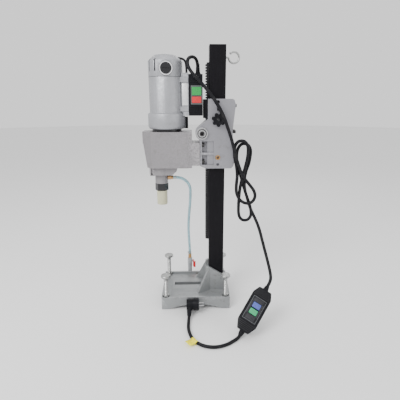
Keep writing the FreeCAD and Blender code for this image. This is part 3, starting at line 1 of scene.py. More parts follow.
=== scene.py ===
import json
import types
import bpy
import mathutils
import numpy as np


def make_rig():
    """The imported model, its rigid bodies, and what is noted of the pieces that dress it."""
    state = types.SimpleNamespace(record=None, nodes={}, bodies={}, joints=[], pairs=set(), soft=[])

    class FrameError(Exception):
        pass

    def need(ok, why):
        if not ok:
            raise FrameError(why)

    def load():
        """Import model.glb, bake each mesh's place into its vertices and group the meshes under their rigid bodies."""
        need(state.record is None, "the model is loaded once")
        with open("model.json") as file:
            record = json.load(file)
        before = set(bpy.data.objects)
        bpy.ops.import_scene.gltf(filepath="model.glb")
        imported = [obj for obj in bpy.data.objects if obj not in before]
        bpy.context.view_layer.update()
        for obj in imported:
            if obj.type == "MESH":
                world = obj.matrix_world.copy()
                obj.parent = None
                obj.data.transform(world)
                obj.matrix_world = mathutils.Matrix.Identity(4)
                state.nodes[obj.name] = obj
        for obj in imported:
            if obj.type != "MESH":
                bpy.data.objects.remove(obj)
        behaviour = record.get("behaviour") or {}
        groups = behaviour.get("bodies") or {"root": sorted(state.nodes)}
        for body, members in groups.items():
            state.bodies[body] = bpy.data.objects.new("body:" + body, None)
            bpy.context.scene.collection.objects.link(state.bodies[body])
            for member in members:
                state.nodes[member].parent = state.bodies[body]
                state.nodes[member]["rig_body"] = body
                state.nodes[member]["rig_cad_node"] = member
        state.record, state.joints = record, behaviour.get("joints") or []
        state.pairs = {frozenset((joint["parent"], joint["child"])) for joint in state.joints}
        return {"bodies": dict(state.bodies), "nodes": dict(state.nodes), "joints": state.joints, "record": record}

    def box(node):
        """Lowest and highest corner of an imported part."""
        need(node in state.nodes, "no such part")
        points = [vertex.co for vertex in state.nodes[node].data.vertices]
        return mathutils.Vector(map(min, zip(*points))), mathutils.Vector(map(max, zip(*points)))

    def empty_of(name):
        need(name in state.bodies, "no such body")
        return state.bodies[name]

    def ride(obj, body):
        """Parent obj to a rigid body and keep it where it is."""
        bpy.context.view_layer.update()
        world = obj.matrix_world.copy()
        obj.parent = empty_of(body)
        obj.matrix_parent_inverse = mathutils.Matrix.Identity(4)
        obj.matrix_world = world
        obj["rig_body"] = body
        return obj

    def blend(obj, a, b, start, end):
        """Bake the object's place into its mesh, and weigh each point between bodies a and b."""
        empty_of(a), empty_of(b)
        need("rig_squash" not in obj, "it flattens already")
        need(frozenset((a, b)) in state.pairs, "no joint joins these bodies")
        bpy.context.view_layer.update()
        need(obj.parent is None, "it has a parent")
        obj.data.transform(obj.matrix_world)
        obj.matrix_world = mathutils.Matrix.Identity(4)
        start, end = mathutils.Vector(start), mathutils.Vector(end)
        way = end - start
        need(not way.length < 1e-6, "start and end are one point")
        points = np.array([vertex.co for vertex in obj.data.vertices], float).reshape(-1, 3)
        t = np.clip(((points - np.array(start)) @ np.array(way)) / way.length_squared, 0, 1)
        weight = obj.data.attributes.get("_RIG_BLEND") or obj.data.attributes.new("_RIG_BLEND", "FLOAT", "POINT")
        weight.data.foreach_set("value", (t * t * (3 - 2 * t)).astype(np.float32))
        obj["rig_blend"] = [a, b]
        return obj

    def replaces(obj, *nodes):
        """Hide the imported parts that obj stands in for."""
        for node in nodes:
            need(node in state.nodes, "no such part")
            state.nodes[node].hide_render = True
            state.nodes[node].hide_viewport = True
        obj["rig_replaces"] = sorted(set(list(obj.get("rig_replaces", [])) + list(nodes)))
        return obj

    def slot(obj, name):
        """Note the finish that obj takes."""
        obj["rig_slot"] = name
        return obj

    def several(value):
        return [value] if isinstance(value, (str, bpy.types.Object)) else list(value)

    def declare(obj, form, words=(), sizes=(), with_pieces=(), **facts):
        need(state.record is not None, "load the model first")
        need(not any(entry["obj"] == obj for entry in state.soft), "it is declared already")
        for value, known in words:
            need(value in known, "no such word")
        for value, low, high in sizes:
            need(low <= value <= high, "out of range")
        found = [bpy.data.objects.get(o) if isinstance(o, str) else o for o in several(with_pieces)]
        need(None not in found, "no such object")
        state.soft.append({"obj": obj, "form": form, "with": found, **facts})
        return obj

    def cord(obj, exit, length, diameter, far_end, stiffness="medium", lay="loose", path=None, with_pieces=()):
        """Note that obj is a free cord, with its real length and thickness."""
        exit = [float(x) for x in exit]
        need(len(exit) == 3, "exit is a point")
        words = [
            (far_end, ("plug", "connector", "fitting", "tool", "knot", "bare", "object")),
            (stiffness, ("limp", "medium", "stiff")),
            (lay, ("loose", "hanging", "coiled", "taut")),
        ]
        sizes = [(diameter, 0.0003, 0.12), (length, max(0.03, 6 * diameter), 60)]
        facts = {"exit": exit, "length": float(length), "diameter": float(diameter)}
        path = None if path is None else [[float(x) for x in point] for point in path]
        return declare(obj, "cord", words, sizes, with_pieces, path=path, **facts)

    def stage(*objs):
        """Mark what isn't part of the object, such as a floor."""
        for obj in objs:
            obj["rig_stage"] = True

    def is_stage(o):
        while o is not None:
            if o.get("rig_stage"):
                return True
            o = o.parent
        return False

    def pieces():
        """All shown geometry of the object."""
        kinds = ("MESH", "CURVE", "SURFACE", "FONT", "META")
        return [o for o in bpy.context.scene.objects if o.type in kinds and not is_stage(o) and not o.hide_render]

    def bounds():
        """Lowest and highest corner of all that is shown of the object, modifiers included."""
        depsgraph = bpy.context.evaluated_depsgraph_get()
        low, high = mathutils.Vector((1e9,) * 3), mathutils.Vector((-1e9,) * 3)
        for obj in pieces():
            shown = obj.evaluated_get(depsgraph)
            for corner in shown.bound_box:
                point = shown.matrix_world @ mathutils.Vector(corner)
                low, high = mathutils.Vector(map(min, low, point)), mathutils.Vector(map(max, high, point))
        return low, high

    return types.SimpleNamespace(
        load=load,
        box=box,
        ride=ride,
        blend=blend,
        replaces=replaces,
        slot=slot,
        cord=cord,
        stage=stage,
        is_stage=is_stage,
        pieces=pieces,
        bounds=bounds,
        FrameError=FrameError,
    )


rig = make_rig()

bl_info = {
    "name": "Core Drill Rig",
    "version": (1, 0, 0),
    "blender": (4, 5, 0),
    "location": "View3D > Sidebar > Drill Rig",
    "description": "Dresses the core drill rig's frame with castings, motor, switch, lead and hose",
    "category": "Object",
}

import json
import math

import bmesh
import bpy
import numpy as np
from bpy.props import FloatProperty, FloatVectorProperty, IntProperty, PointerProperty
from mathutils import Matrix, Vector
from mathutils.bvhtree import BVHTree

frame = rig.load()
CAD_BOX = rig.bounds()


# ---------------------------------------------------------------- routes, in metres

LEAD_ROUTE = [
    # out of the switch, over, and down across the carriage
    (0.0145, 0.018, 0.924), (0.0145, 0.018, 0.942), (0.008, 0.005, 0.962),
    (-0.007, -0.020, 0.966), (-0.022, -0.045, 0.955), (-0.0225, -0.058, 0.932),
    (-0.008, -0.064, 0.908), (0.011, -0.067, 0.889), (0.031, -0.070, 0.868),
    (0.054, -0.074, 0.842), (0.077, -0.079, 0.810), (0.094, -0.082, 0.781),
    (0.107, -0.084, 0.756), (0.119, -0.084, 0.722), (0.136, -0.081, 0.676),
    (0.149, -0.073, 0.628), (0.161, -0.069, 0.590), (0.173, -0.067, 0.558),
    # the side loop of the hank
    (0.187, -0.066, 0.532), (0.208, -0.066, 0.507), (0.229, -0.066, 0.480),
    (0.232, -0.0665, 0.454), (0.216, -0.067, 0.433), (0.192, -0.067, 0.433),
    (0.171, -0.0665, 0.447), (0.158, -0.0645, 0.474), (0.158, -0.061, 0.505),
    # up and over its first long loop
    (0.162, -0.057, 0.542), (0.157, -0.0555, 0.580), (0.149, -0.0575, 0.615),
    (0.1475, -0.0575, 0.651), (0.162, -0.0565, 0.6715), (0.186, -0.055, 0.6715),
    (0.2005, -0.054, 0.652), (0.200, -0.054, 0.613), (0.192, -0.054, 0.575),
    (0.183, -0.0545, 0.539), (0.175, -0.0545, 0.504), (0.171, -0.054, 0.465),
    (0.1695, -0.054, 0.424), (0.1705, -0.054, 0.380), (0.185, -0.054, 0.3595),
    (0.2075, -0.054, 0.3595),
    # up again inside it
    (0.2215, -0.054, 0.379), (0.217, -0.053, 0.414), (0.203, -0.0495, 0.453),
    (0.189, -0.0435, 0.493), (0.177, -0.0415, 0.536), (0.164, -0.0415, 0.571),
    (0.159, -0.0415, 0.606), (0.161, -0.0415, 0.639), (0.175, -0.0415, 0.6595),
    (0.198, -0.0415, 0.6595), (0.2125, -0.0415, 0.640), (0.211, -0.0415, 0.606),
    (0.205, -0.041, 0.577),
    # behind the bundle and down to the breaker
    (0.197, -0.036, 0.552), (0.193, -0.031, 0.518), (0.195, -0.029, 0.482),
    (0.206, -0.032, 0.444), (0.217, -0.039, 0.409), (0.229, -0.050, 0.383),
    (0.242, -0.064, 0.356), (0.252, -0.080, 0.328), (0.261, -0.102, 0.288),
    (0.271, -0.126, 0.246), (0.279, -0.151, 0.210), (0.283, -0.1765, 0.182),
    (0.2798, -0.1902, 0.1643), (0.26767, -0.20066, 0.1496),
]
PLUG_LEAD_ROUTE = [
    (0.1545, -0.2983, 0.0126), (0.1495, -0.3026, 0.0066), (0.130, -0.319, 0.0061),
    (0.104, -0.337, 0.0061), (0.072, -0.348, 0.0061), (0.036, -0.345, 0.0061),
    (0.006, -0.328, 0.0061), (-0.014, -0.302, 0.0061), (-0.024, -0.272, 0.0061),
    (-0.0285, -0.246, 0.0061), (-0.029, -0.224, 0.0061), (-0.0286, -0.206, 0.0061),
    (-0.0278, -0.191, 0.0098), (-0.027, -0.180, 0.015),
]
TAIL_ROUTE = [
    (-0.027, -0.006, 0.904), (-0.027, -0.006, 0.934), (-0.0315, -0.006, 0.953),
    (-0.044, -0.006, 0.961), (-0.060, -0.006, 0.9615),
]
HOSE_ROUTE = [
    (-0.085, 0.0, 0.5235), (-0.063, 0.0, 0.5235), (-0.043, 0.003, 0.515),
    (-0.0276, 0.011, 0.499), (-0.019, 0.0236, 0.476), (-0.0185, 0.0416, 0.445),
    (-0.0205, 0.0646, 0.405), (-0.0245, 0.087, 0.361), (-0.0286, 0.1068, 0.313),
    (-0.0307, 0.1208, 0.263), (-0.0292, 0.1273, 0.213), (-0.027, 0.1296, 0.176),
    (-0.026, 0.130, 0.152), (-0.026, 0.130, 0.1343),
]
BREAKER_TOP, BREAKER_FOOT = Vector((0.2675, -0.2008, 0.1494)), Vector((0.1545, -0.2983, 0.0126))
BREAKER_INWARD = Vector((0.16, 0.83, -0.53))

# centre lines: the rack's pinion and the lock knob lie along Y, the motor stands along Z
PINION_X, PINION_Z = 0.028, 0.698
KNOB_X, KNOB_Z = 0.088, 0.748
MOTOR_X = -0.104


# ---------------------------------------------------------------- sizes and colours

def colour(name, description, value):
    return FloatVectorProperty(name=name, description=description, default=value,
                               subtype="COLOR", size=3, min=0.0, max=1.0)


def length(name, description, value):
    return FloatProperty(name=name, description=description, default=value, min=0.0,
                         unit="LENGTH", subtype="DISTANCE", precision=4)


class RigCastings(bpy.types.PropertyGroup):
    """Sizes and colours of the painted castings."""
    base_grey: colour("Base grey", "Paint on the base casting", (0.275, 0.285, 0.29))
    carriage_grey: colour("Carriage grey", "Paint on the carriage", (0.265, 0.262, 0.285))
    gearbox_grey: colour("Gearbox grey", "Paint on the gearbox and nose", (0.250, 0.238, 0.248))
    motor_silver: colour("Motor silver", "Paint on the motor and bracket", (0.330, 0.335, 0.355))
    base_round: length("Base rounding", "Radius of the base's cast edges", 0.0018)
    casting_round: length("Casting rounding", "Radius of the other cast edges", 0.0012)


class RigColumn(bpy.types.PropertyGroup):
    """Colours of the column and its steel fittings."""
    black: colour("Column black", "Powder coat on the column", (0.004, 0.0035, 0.005))
    zinc: colour("Zinc", "Plated bolts, nuts and hook", (0.44, 0.445, 0.44))
    rack_steel: colour("Rack steel", "Machined rack and pinion", (0.034, 0.034, 0.037))
    thread_pitch: length("Thread pitch", "Pitch of the levelling screws", 0.002)
    thread_depth: length("Thread depth", "Depth of the levelling screws' thread", 0.0008)


class RigPlastics(bpy.types.PropertyGroup):
    """Colours of the plastic and rubber pieces."""
    black: colour("Black plastic", "Switch box, knob and breaker", (0.005, 0.005, 0.007))
    bezel: colour("Bezel grey", "Frame around the two buttons", (0.085, 0.095, 0.095))
    start: colour("Start green", "Start button", (0.0, 0.27, 0.045))
    stop: colour("Stop red", "Stop button and valve lever", (0.50, 0.012, 0.016))
    sleeve: colour("Sleeve cream", "Thread protector on the spindle", (0.47, 0.46, 0.31))
    tag: colour("Tag yellow", "Blank flag on the lead", (0.82, 0.68, 0.0))
    knob_lobes: IntProperty(name="Knob lobes", description="Lobes round the lock knob",
                            default=7, min=3, max=12)
    knob_radius: length("Knob radius", "Radius of the lock knob between its lobes", 0.0190)
    knob_lobe: length("Lobe radius", "Radius of each lobe of the lock knob", 0.0065)


class RigLines(bpy.types.PropertyGroup):
    """Sizes and colours of the mains lead and the water hose."""
    lead_thickness: length("Lead thickness", "Diameter of the mains lead", 0.012)
    tail_thickness: length("Tail thickness", "Diameter of the motor's own lead", 0.008)
    hose_thickness: length("Hose thickness", "Diameter of the water hose", 0.0115)
    lead_length: length("Lead length", "Gland to breaker, with the hank", 2.26)
    plug_lead_length: length("Plug lead length", "Breaker to plug", 0.315)
    tail_length: length("Tail length", "Bracket to motor cap", 0.078)
    hose_length: length("Hose length", "Swivel to valve", 0.455)
    rubber: colour("Lead rubber", "Rubber of the leads", (0.007, 0.007, 0.009))
    hose: colour("Hose tint", "Tint of the clear hose", (0.36, 0.56, 0.62))


class RigStage(bpy.types.PropertyGroup):
    """Floor and lights."""
    floor: colour("Floor", "Pale studio floor", (0.86, 0.86, 0.86))
    sky: FloatProperty(name="Surround", description="Strength of the pale surround",
                       default=1.15, min=0.0, max=5.0)
    key: FloatProperty(name="Key light", description="Power of the large front light",
                       default=62.0, min=0.0, unit="POWER")
    fill: FloatProperty(name="Fill light", description="Power of the side light",
                        default=9.0, min=0.0, unit="POWER")


GROUPS = {"rig_castings": RigCastings, "rig_column": RigColumn, "rig_plastics": RigPlastics,
          "rig_lines": RigLines, "rig_stage": RigStage}


# ---------------------------------------------------------------- finishes

class Finish:
    """A material built up from layers of noise that lie in the rig's own space."""

    def __init__(self, name, base, roughness, metallic=0.0, **fixed):
        self.material = bpy.data.materials.new(name)
        self.material.use_nodes = True
        self.tree = self.material.node_tree
        self.shader = self.tree.nodes["Principled BSDF"]
        self.set("Base Color", (*base, 1.0))
        self.set("Roughness", roughness)
        self.set("Metallic", metallic)
        for socket, value in fixed.items():
            self.set(socket.replace("_", " ").title().replace("Ior", "IOR"), value)
        self.base, self.base_socket, self.normal = base, None, None
        self.place = self.add("ShaderNodeTexCoord").outputs["Object"]

    def set(self, socket, value):
        self.shader.inputs[socket].default_value = value

    def add(self, kind, **settings):
        made = self.tree.nodes.new(kind)
        for key, value in settings.items():
            setattr(made, key, value)
        return made

    def join(self, source, target):
        self.tree.links.new(source, target)

    def noise(self, size, detail=3.0, stretch=None, rough=0.5):
        """Noise with lumps about as large as size, in metres."""
        place = self.place
        if stretch:
            mapping = self.add("ShaderNodeMapping")
            mapping.inputs["Scale"].default_value = stretch
            self.join(place, mapping.inputs["Vector"])
            place = mapping.outputs["Vector"]
        made = self.add("ShaderNodeTexNoise")
        made.inputs["Scale"].default_value = 1.0 / size
        made.inputs["Detail"].default_value = detail
        made.inputs["Roughness"].default_value = rough
        self.join(place, made.inputs["Vector"])
        return made.outputs["Fac"]

    def edges(self, low=0.53, high=0.60):
        return self.spread(self.add("ShaderNodeNewGeometry").outputs["Pointiness"], low, high)

    def spread(self, source, low, high, to_low=0.0, to_high=1.0):
        made = self.add("ShaderNodeMapRange", clamp=True)
        for key, value in zip(("From Min", "From Max", "To Min", "To Max"),
                              (low, high, to_low, to_high)):
            made.inputs[key].default_value = value
        self.join(source, made.inputs["Value"])
        return made.outputs["Result"]

    def product(self, a, b):
        made = self.add("ShaderNodeMath", operation="MULTIPLY")
        self.join(a, made.inputs[0])
        self.join(b, made.inputs[1])
        return made.outputs["Value"]

    def tint(self, factor, other):
        made = self.add("ShaderNodeMix", data_type="RGBA")
        self.join(factor, made.inputs["Factor"])
        if self.base_socket:
            self.join(self.base_socket, made.inputs[6])
        else:
            made.inputs[6].default_value = (*self.base, 1.0)
        made.inputs[7].default_value = (*other, 1.0)
        self.base_socket = made.outputs[2]
        self.join(self.base_socket, self.shader.inputs["Base Color"])
        return self

    def roughen(self, source, low, high):
        self.join(self.spread(source, 0.3, 0.7, low, high), self.shader.inputs["Roughness"])
        return self

    def relief(self, height, distance, strength=1.0):
        made = self.add("ShaderNodeBump")
        made.inputs["Strength"].default_value = strength
        made.inputs["Distance"].default_value = distance
        self.join(height, made.inputs["Height"])
        if self.normal:
            self.join(self.normal, made.inputs["Normal"])
        self.normal = made.outputs["Normal"]
        self.join(self.normal, self.shader.inputs["Normal"])
        return self


def shade_of(base, share):
    return tuple(min(1.0, c * share) for c in base)


def cast_paint(name, base, lumps=0.00035, dirt=0.5):
    """Sprayed paint over a cast skin: orange peel, soft lumps, grime and rubbed edges."""
    made = Finish(name, base, 0.42, 0.45, coat_weight=0.12, coat_roughness=0.25)
    made.tint(made.spread(made.noise(0.060, 4.0), 0.30, 0.75, 0.0, 0.45), shade_of(base, 0.82))
    made.tint(made.spread(made.noise(0.0035, 2.0), 0.55, 0.75, 0.0, 0.30), shade_of(base, 1.22))
    grime = made.product(made.spread(made.noise(0.022, 6.0, rough=0.62), 0.54, 0.72),
                         made.spread(made.noise(0.11, 2.0), 0.42, 0.62, 0.0, dirt))
    made.tint(grime, shade_of((0.20, 0.185, 0.165), 0.7))
    made.tint(made.product(made.edges(), made.spread(made.noise(0.006, 4.0), 0.40, 0.60)),
              shade_of(base, 1.5))
    made.roughen(made.noise(0.012, 4.0), 0.34, 0.56)
    made.relief(made.noise(0.009, 3.0), lumps, 0.55)
    return made.relief(made.noise(0.0011, 2.0), 0.00006, 0.8).material


def powder_coat(name, base):
    """Satin powder coat with fine texture, rub streaks along the column and dust."""
    made = Finish(name, base, 0.36, 0.0, specular_ior_level=0.12)
    made.tint(made.spread(made.noise(0.020, 5.0, (6.0, 6.0, 0.25)), 0.50, 0.80, 0.0, 0.5),
              shade_of(base, 2.6))
    made.tint(made.spread(made.noise(0.0012, 2.0), 0.62, 0.74, 0.0, 0.35), (0.10, 0.10, 0.10))
    made.roughen(made.noise(0.010, 4.0, (4.0, 4.0, 0.3)), 0.26, 0.48)
    return made.relief(made.noise(0.0009, 2.0), 0.00005, 0.8).material


def plated(name, base, rough=0.26, dull=0.7, brush=(1.0, 1.0, 1.0)):
    """Plated or ground steel: clouded colour, fine marks and a little dulling."""
    made = Finish(name, base, rough, 1.0)
    made.tint(made.spread(made.noise(0.008, 5.0), 0.35, 0.70, 0.0, 0.7), shade_of(base, dull))
    made.tint(made.spread(made.noise(0.0025, 3.0), 0.60, 0.75, 0.0, 0.5),
              shade_of((0.40, 0.36, 0.28), dull))
    made.roughen(made.noise(0.004, 4.0, brush), rough * 0.75, rough * 1.7)
    return made.relief(made.noise(0.0012, 3.0, brush), 0.00004, 0.7).material


def black_oxide(name):
    made = Finish(name, (0.018, 0.018, 0.020), 0.38, 0.65)
    made.tint(made.spread(made.noise(0.003, 4.0), 0.45, 0.75, 0.0, 0.6), (0.055, 0.050, 0.048))
    made.tint(made.edges(0.54, 0.62), (0.16, 0.155, 0.15))
    made.roughen(made.noise(0.002, 3.0), 0.28, 0.52)
    return made.relief(made.noise(0.0010, 2.0), 0.00004, 0.7).material


def moulded(name, base, rough=0.45, grain=0.00005, gloss=0.0, specular=0.5):
    """Moulded plastic with a spark-eroded grain, faint flow marks and dust in places."""
    made = Finish(name, base, rough, 0.0, coat_weight=gloss, coat_roughness=0.12,
                  specular_ior_level=specular)
    made.tint(made.spread(made.noise(0.030, 4.0), 0.40, 0.75, 0.0, 0.5), shade_of(base, 1.35))
    made.tint(made.spread(made.noise(0.0016, 3.0), 0.64, 0.78, 0.0, 0.25), shade_of(base, 2.2))
    made.tint(made.product(made.edges(), made.spread(made.noise(0.005, 3.0), 0.45, 0.65)),
              shade_of(base, 1.9))
    made.roughen(made.noise(0.006, 4.0), rough * 0.78, rough * 1.22)
    return made.relief(made.noise(0.0007, 2.0), grain, 0.8).material


def cable_rubber(name, base):
    made = Finish(name, base, 0.40, 0.0, specular_ior_level=0.13)
    made.tint(made.spread(made.noise(0.012, 5.0), 0.45, 0.75, 0.0, 0.8), (0.022, 0.021, 0.022))
    made.tint(made.spread(made.noise(0.0020, 3.0), 0.62, 0.76, 0.0, 0.35), (0.10, 0.095, 0.09))
    made.roughen(made.noise(0.005, 4.0), 0.30, 0.58)
    return made.relief(made.noise(0.0016, 3.0), 0.00010, 0.6).material


def clear_hose(name, tint):
    """Soft clear hose, clouded by water marks, with a braid that only just shows."""
    made = Finish(name, tint, 0.16, 0.0, ior=1.42, transmission_weight=0.55,
                  subsurface_weight=0.15)
    made.set("Subsurface Radius", (0.004, 0.004, 0.004))
    made.tint(made.spread(made.noise(0.010, 4.0, (1.0, 1.0, 0.4)), 0.38, 0.72, 0.0, 0.6),
              shade_of(tint, 1.35))
    made.roughen(made.noise(0.004, 3.0), 0.10, 0.30)
    return made.relief(made.noise(0.0015, 3.0), 0.00008, 0.6).material


def worn_brass(name):
    made = Finish(name, (0.52, 0.30, 0.13), 0.30, 1.0)
    made.tint(made.spread(made.noise(0.004, 5.0), 0.45, 0.72, 0.0, 0.75), (0.30, 0.19, 0.08))
    made.roughen(made.noise(0.003, 4.0), 0.22, 0.46)
    return made.relief(made.noise(0.0010, 2.0), 0.00004, 0.7).material


def wound_copper(name):
    """Lacquered windings: turns that run round the core, over dark laminations."""
    made = Finish(name, (0.36, 0.15, 0.06), 0.38, 0.6, coat_weight=0.5, coat_roughness=0.2)
    made.tint(made.spread(made.noise(0.0016, 2.0, (1.0, 1.0, 6.0)), 0.42, 0.60), (0.07, 0.05, 0.04))
    made.roughen(made.noise(0.004, 3.0), 0.28, 0.50)
    return made.relief(made.noise(0.0014, 2.0, (1.0, 1.0, 6.0)), 0.00020, 0.8).material


FINISHES = {}


def finish(key):
    """The material called key, made the first time that a piece asks for it."""
    if key in FINISHES:
        return FINISHES[key]
    scene = bpy.context.scene
    cast, column, plastic, lines = (scene.rig_castings, scene.rig_column, scene.rig_plastics,
                                    scene.rig_lines)
    makers = {
        "base_paint": (cast_paint, cast.base_grey, 0.0005, 0.8),
        "carriage_paint": (cast_paint, cast.carriage_grey, 0.0004, 0.5),
        "gearbox_paint": (cast_paint, cast.gearbox_grey, 0.0003, 0.4),
        "motor_paint": (cast_paint, cast.motor_silver, 0.00015, 0.3),
        "column_coat": (powder_coat, column.black),
        "zinc_plate": (plated, column.zinc),
        "ground_steel": (plated, (0.50, 0.50, 0.51), 0.20, 0.8),
        "rack_steel": (plated, column.rack_steel, 0.34, 0.5),
        "hub_steel": (plated, (0.56, 0.56, 0.57), 0.24, 0.75),
        "black_oxide": (black_oxide,),
        "gloss_black": (moulded, (0.008, 0.008, 0.010), 0.20, 0.00002, 0.0, 0.45),
        "black_plastic": (moulded, plastic.black, 0.40, 0.00005, 0.0, 0.15),
        "bezel_plastic": (moulded, plastic.bezel, 0.40),
        "valve_plastic": (moulded, (0.30, 0.31, 0.32), 0.40),
        "white_plastic": (moulded, (0.70, 0.71, 0.70), 0.38),
        "pad_plastic": (moulded, (0.62, 0.60, 0.54), 0.44),
        "start_plastic": (moulded, plastic.start, 0.30, 0.00002, 0.3),
        "stop_plastic": (moulded, plastic.stop, 0.30, 0.00002, 0.3),
        "reset_plastic": (moulded, (0.02, 0.30, 0.12), 0.30, 0.00002, 0.3),
        "test_plastic": (moulded, (0.055, 0.085, 0.33), 0.30, 0.00002, 0.3),
        "sleeve_plastic": (moulded, plastic.sleeve, 0.42, 0.00008),
        "panel_plastic": (moulded, (0.022, 0.022, 0.026), 0.30, 0.00003, 0.0, 0.3),
        "line_plastic": (moulded, (0.10, 0.105, 0.11), 0.30),
        "tag_paper": (moulded, plastic.tag, 0.48, 0.00006),
        "plate_foil": (plated, (0.86, 0.86, 0.88), 0.34, 0.92),
        "lead_rubber": (cable_rubber, lines.rubber),
        "seal_rubber": (cable_rubber, (0.030, 0.016, 0.014)),
        "clear_hose": (clear_hose, lines.hose),
        "brass": (worn_brass,),
        "bronze": (plated, (0.44, 0.27, 0.12), 0.34, 0.6),
        "carbon": (moulded, (0.03, 0.03, 0.03), 0.60, 0.00010),
        "winding": (wound_copper,),
    }
    maker, *values = makers[key]
    FINISHES[key] = maker(key, *values)
    return FINISHES[key]


# ---------------------------------------------------------------- making pieces

def piece(name, bm, body, material, slot=None, sharp=35.0):
    """Turn a bmesh into a shaded piece that rides on a body."""
    mesh = bpy.data.meshes.new(name)
    bm.normal_update()
    bm.to_mesh(mesh)
    bm.free()
    mesh.materials.append(finish(material))
    mesh.shade_smooth()
    mesh.set_sharp_from_angle(angle=math.radians(sharp))
    made = bpy.data.objects.new(name, mesh)
    bpy.context.scene.collection.objects.link(made)
    if body:
        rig.ride(made, body)
    if slot:
        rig.slot(made, slot)
    return made


def body_with(node):
    return frame["nodes"][node]["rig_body"]


def slot_of(node):
    return next(s["material_slot"] for s in frame["record"]["subparts"] if s["node"] == node)


def crowding(mesh, tree, starts, ends, reach):
    """Which hard edges lie by a face that the rounding has turned over."""
    near = np.zeros(len(starts), bool)
    for face in mesh.polygons:
        under = tree.find_nearest(face.center)[1]
        if face.area > 1e-12 and under.dot(face.normal) < -0.05:
            spot = np.array(face.center)
            share = ((spot - starts) * (ends - starts)).sum(1) / ((ends - starts) ** 2).sum(1)
            foot = starts + np.clip(share, 0.0, 1.0)[:, None] * (ends - starts)
            near |= np.linalg.norm(foot - spot, axis=1) < reach
    return near


def rounded(node, width, segments, angle):
    """The node's mesh with its hard edges rounded, less where they stand close together."""
    bm = bmesh.new()
    bm.from_mesh(frame["nodes"][node].data)
    bmesh.ops.remove_doubles(bm, verts=bm.verts, dist=2e-6)
    bmesh.ops.dissolve_limit(bm, angle_limit=math.radians(0.7), verts=bm.verts, edges=bm.edges)
    bmesh.ops.triangulate(bm, faces=bm.faces)
    tree = BVHTree.FromBMesh(bm)
    plain = bpy.data.meshes.new(node)
    bm.edges.ensure_lookup_table()
    hard = [e.index for e in bm.edges if len(e.link_faces) == 2
            and e.calc_face_angle(0.0) > math.radians(angle)]
    starts = np.array([bm.edges[i].verts[0].co for i in hard])
    ends = np.array([bm.edges[i].verts[1].co for i in hard])
    bm.to_mesh(plain)
    bm.free()
    weight = plain.attributes.new("bevel_weight_edge", "FLOAT", "EDGE")
    share = np.ones(len(hard))
    holder = bpy.data.objects.new(node, plain)
    bpy.context.scene.collection.objects.link(holder)
    edge = holder.modifiers.new("edge_rounding", "BEVEL")
    edge.width, edge.segments, edge.limit_method = width, segments, "WEIGHT"
    edge.harden_normals, edge.use_clamp_overlap = True, False
    for _ in range(7):
        for i, value in zip(hard, share):
            weight.data[i].value = value
        plain.update()
        view = bpy.context.evaluated_depsgraph_get()
        mesh = bpy.data.meshes.new_from_object(holder.evaluated_get(view))
        near = crowding(mesh, tree, starts, ends, width * 2.5)
        if not near.any():
            break
        share[near] *= 0.45
        share[share < 0.05] = 0.0
    bpy.data.objects.remove(holder)
    return mesh


def softened(node, material, width=0.0008, segments=2, angle=38.0):
    """The node's own shape with its hard edges rounded, in place of the plain node."""
    mesh = rounded(node, width, segments, angle)
    mesh.name = node + "_finished"
    mesh.materials.clear()
    mesh.materials.append(finish(material))
    made = bpy.data.objects.new(node + "_finished", mesh)
    bpy.context.scene.collection.objects.link(made)
    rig.ride(made, body_with(node))
    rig.slot(made, slot_of(node))
    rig.replaces(made, node)
    return made


def dress(material, *names):
    """Give CAD nodes that keep their shape a finish of their own."""
    for name in names:
        mesh = frame["nodes"][name].data
        mesh.materials.clear()
        mesh.materials.append(finish(material))


def repaint(made, material, test):
    """Use a second finish on the faces whose centre passes the test."""
    made.data.materials.append(finish(material))
    index = len(made.data.materials) - 1
    for face in made.data.polygons:
        if test(face.center):
            face.material_index = index
    return made


def rings_to_mesh(rings, close_ends=True):
    """Skin over a stack of rings that have the same number of points."""
    bm = bmesh.new()
    rows = [[bm.verts.new(p) for p in ring] for ring in rings]
    for low, high in zip(rows, rows[1:]):
        for i in range(len(low)):
            k = (i + 1) % len(low)
            bm.faces.new((low[i], low[k], high[k], high[i]))
    if close_ends:
        bm.faces.new(list(reversed(rows[0])))
        bm.faces.new(rows[-1])
    bmesh.ops.recalc_face_normals(bm, faces=bm.faces)
    return bm


def lathe(name, profile, at, axis, body, material, slot=None, steps=64, sharp=35.0):
    """A turned piece: (radius, height) pairs, closed at both ends, along axis from at."""
    up = Vector(axis).normalized()
    turn = up.to_track_quat("Z", "Y").to_matrix()
    rings = [[Vector(at) + turn @ Vector((r * math.cos(2 * math.pi * i / steps),
                                          r * math.sin(2 * math.pi * i / steps), z))
              for i in range(steps)] for r, z in profile]
    return piece(name, rings_to_mesh(rings), body, material, slot, sharp)


def washer(name, inner, outer, thick, at, axis, body, material, slot=None, steps=48):
    """A ring with softly rounded edges, round a pin or in a hole."""
    nip = min(thick, outer - inner) * 0.28
    section = [(inner, nip), (inner + nip, 0), (outer - nip, 0), (outer, nip),
               (outer, thick - nip), (outer - nip, thick), (inner + nip, thick),
               (inner, thick - nip)]
    turn = Vector(axis).normalized().to_track_quat("Z", "Y").to_matrix()
    bm = bmesh.new()
    columns = []
    for i in range(steps):
        a = 2 * math.pi * i / steps
        columns.append([bm.verts.new(Vector(at) + turn @ Vector((r * math.cos(a),
                                                                  r * math.sin(a), z)))
                        for r, z in section])
    for i in range(steps):
        one, two = columns[i], columns[(i + 1) % steps]
        for k in range(len(section)):
            j = (k + 1) % len(section)
            bm.faces.new((one[k], two[k], two[j], one[j]))
    bmesh.ops.recalc_face_normals(bm, faces=bm.faces)
    return piece(name, bm, body, material, slot)


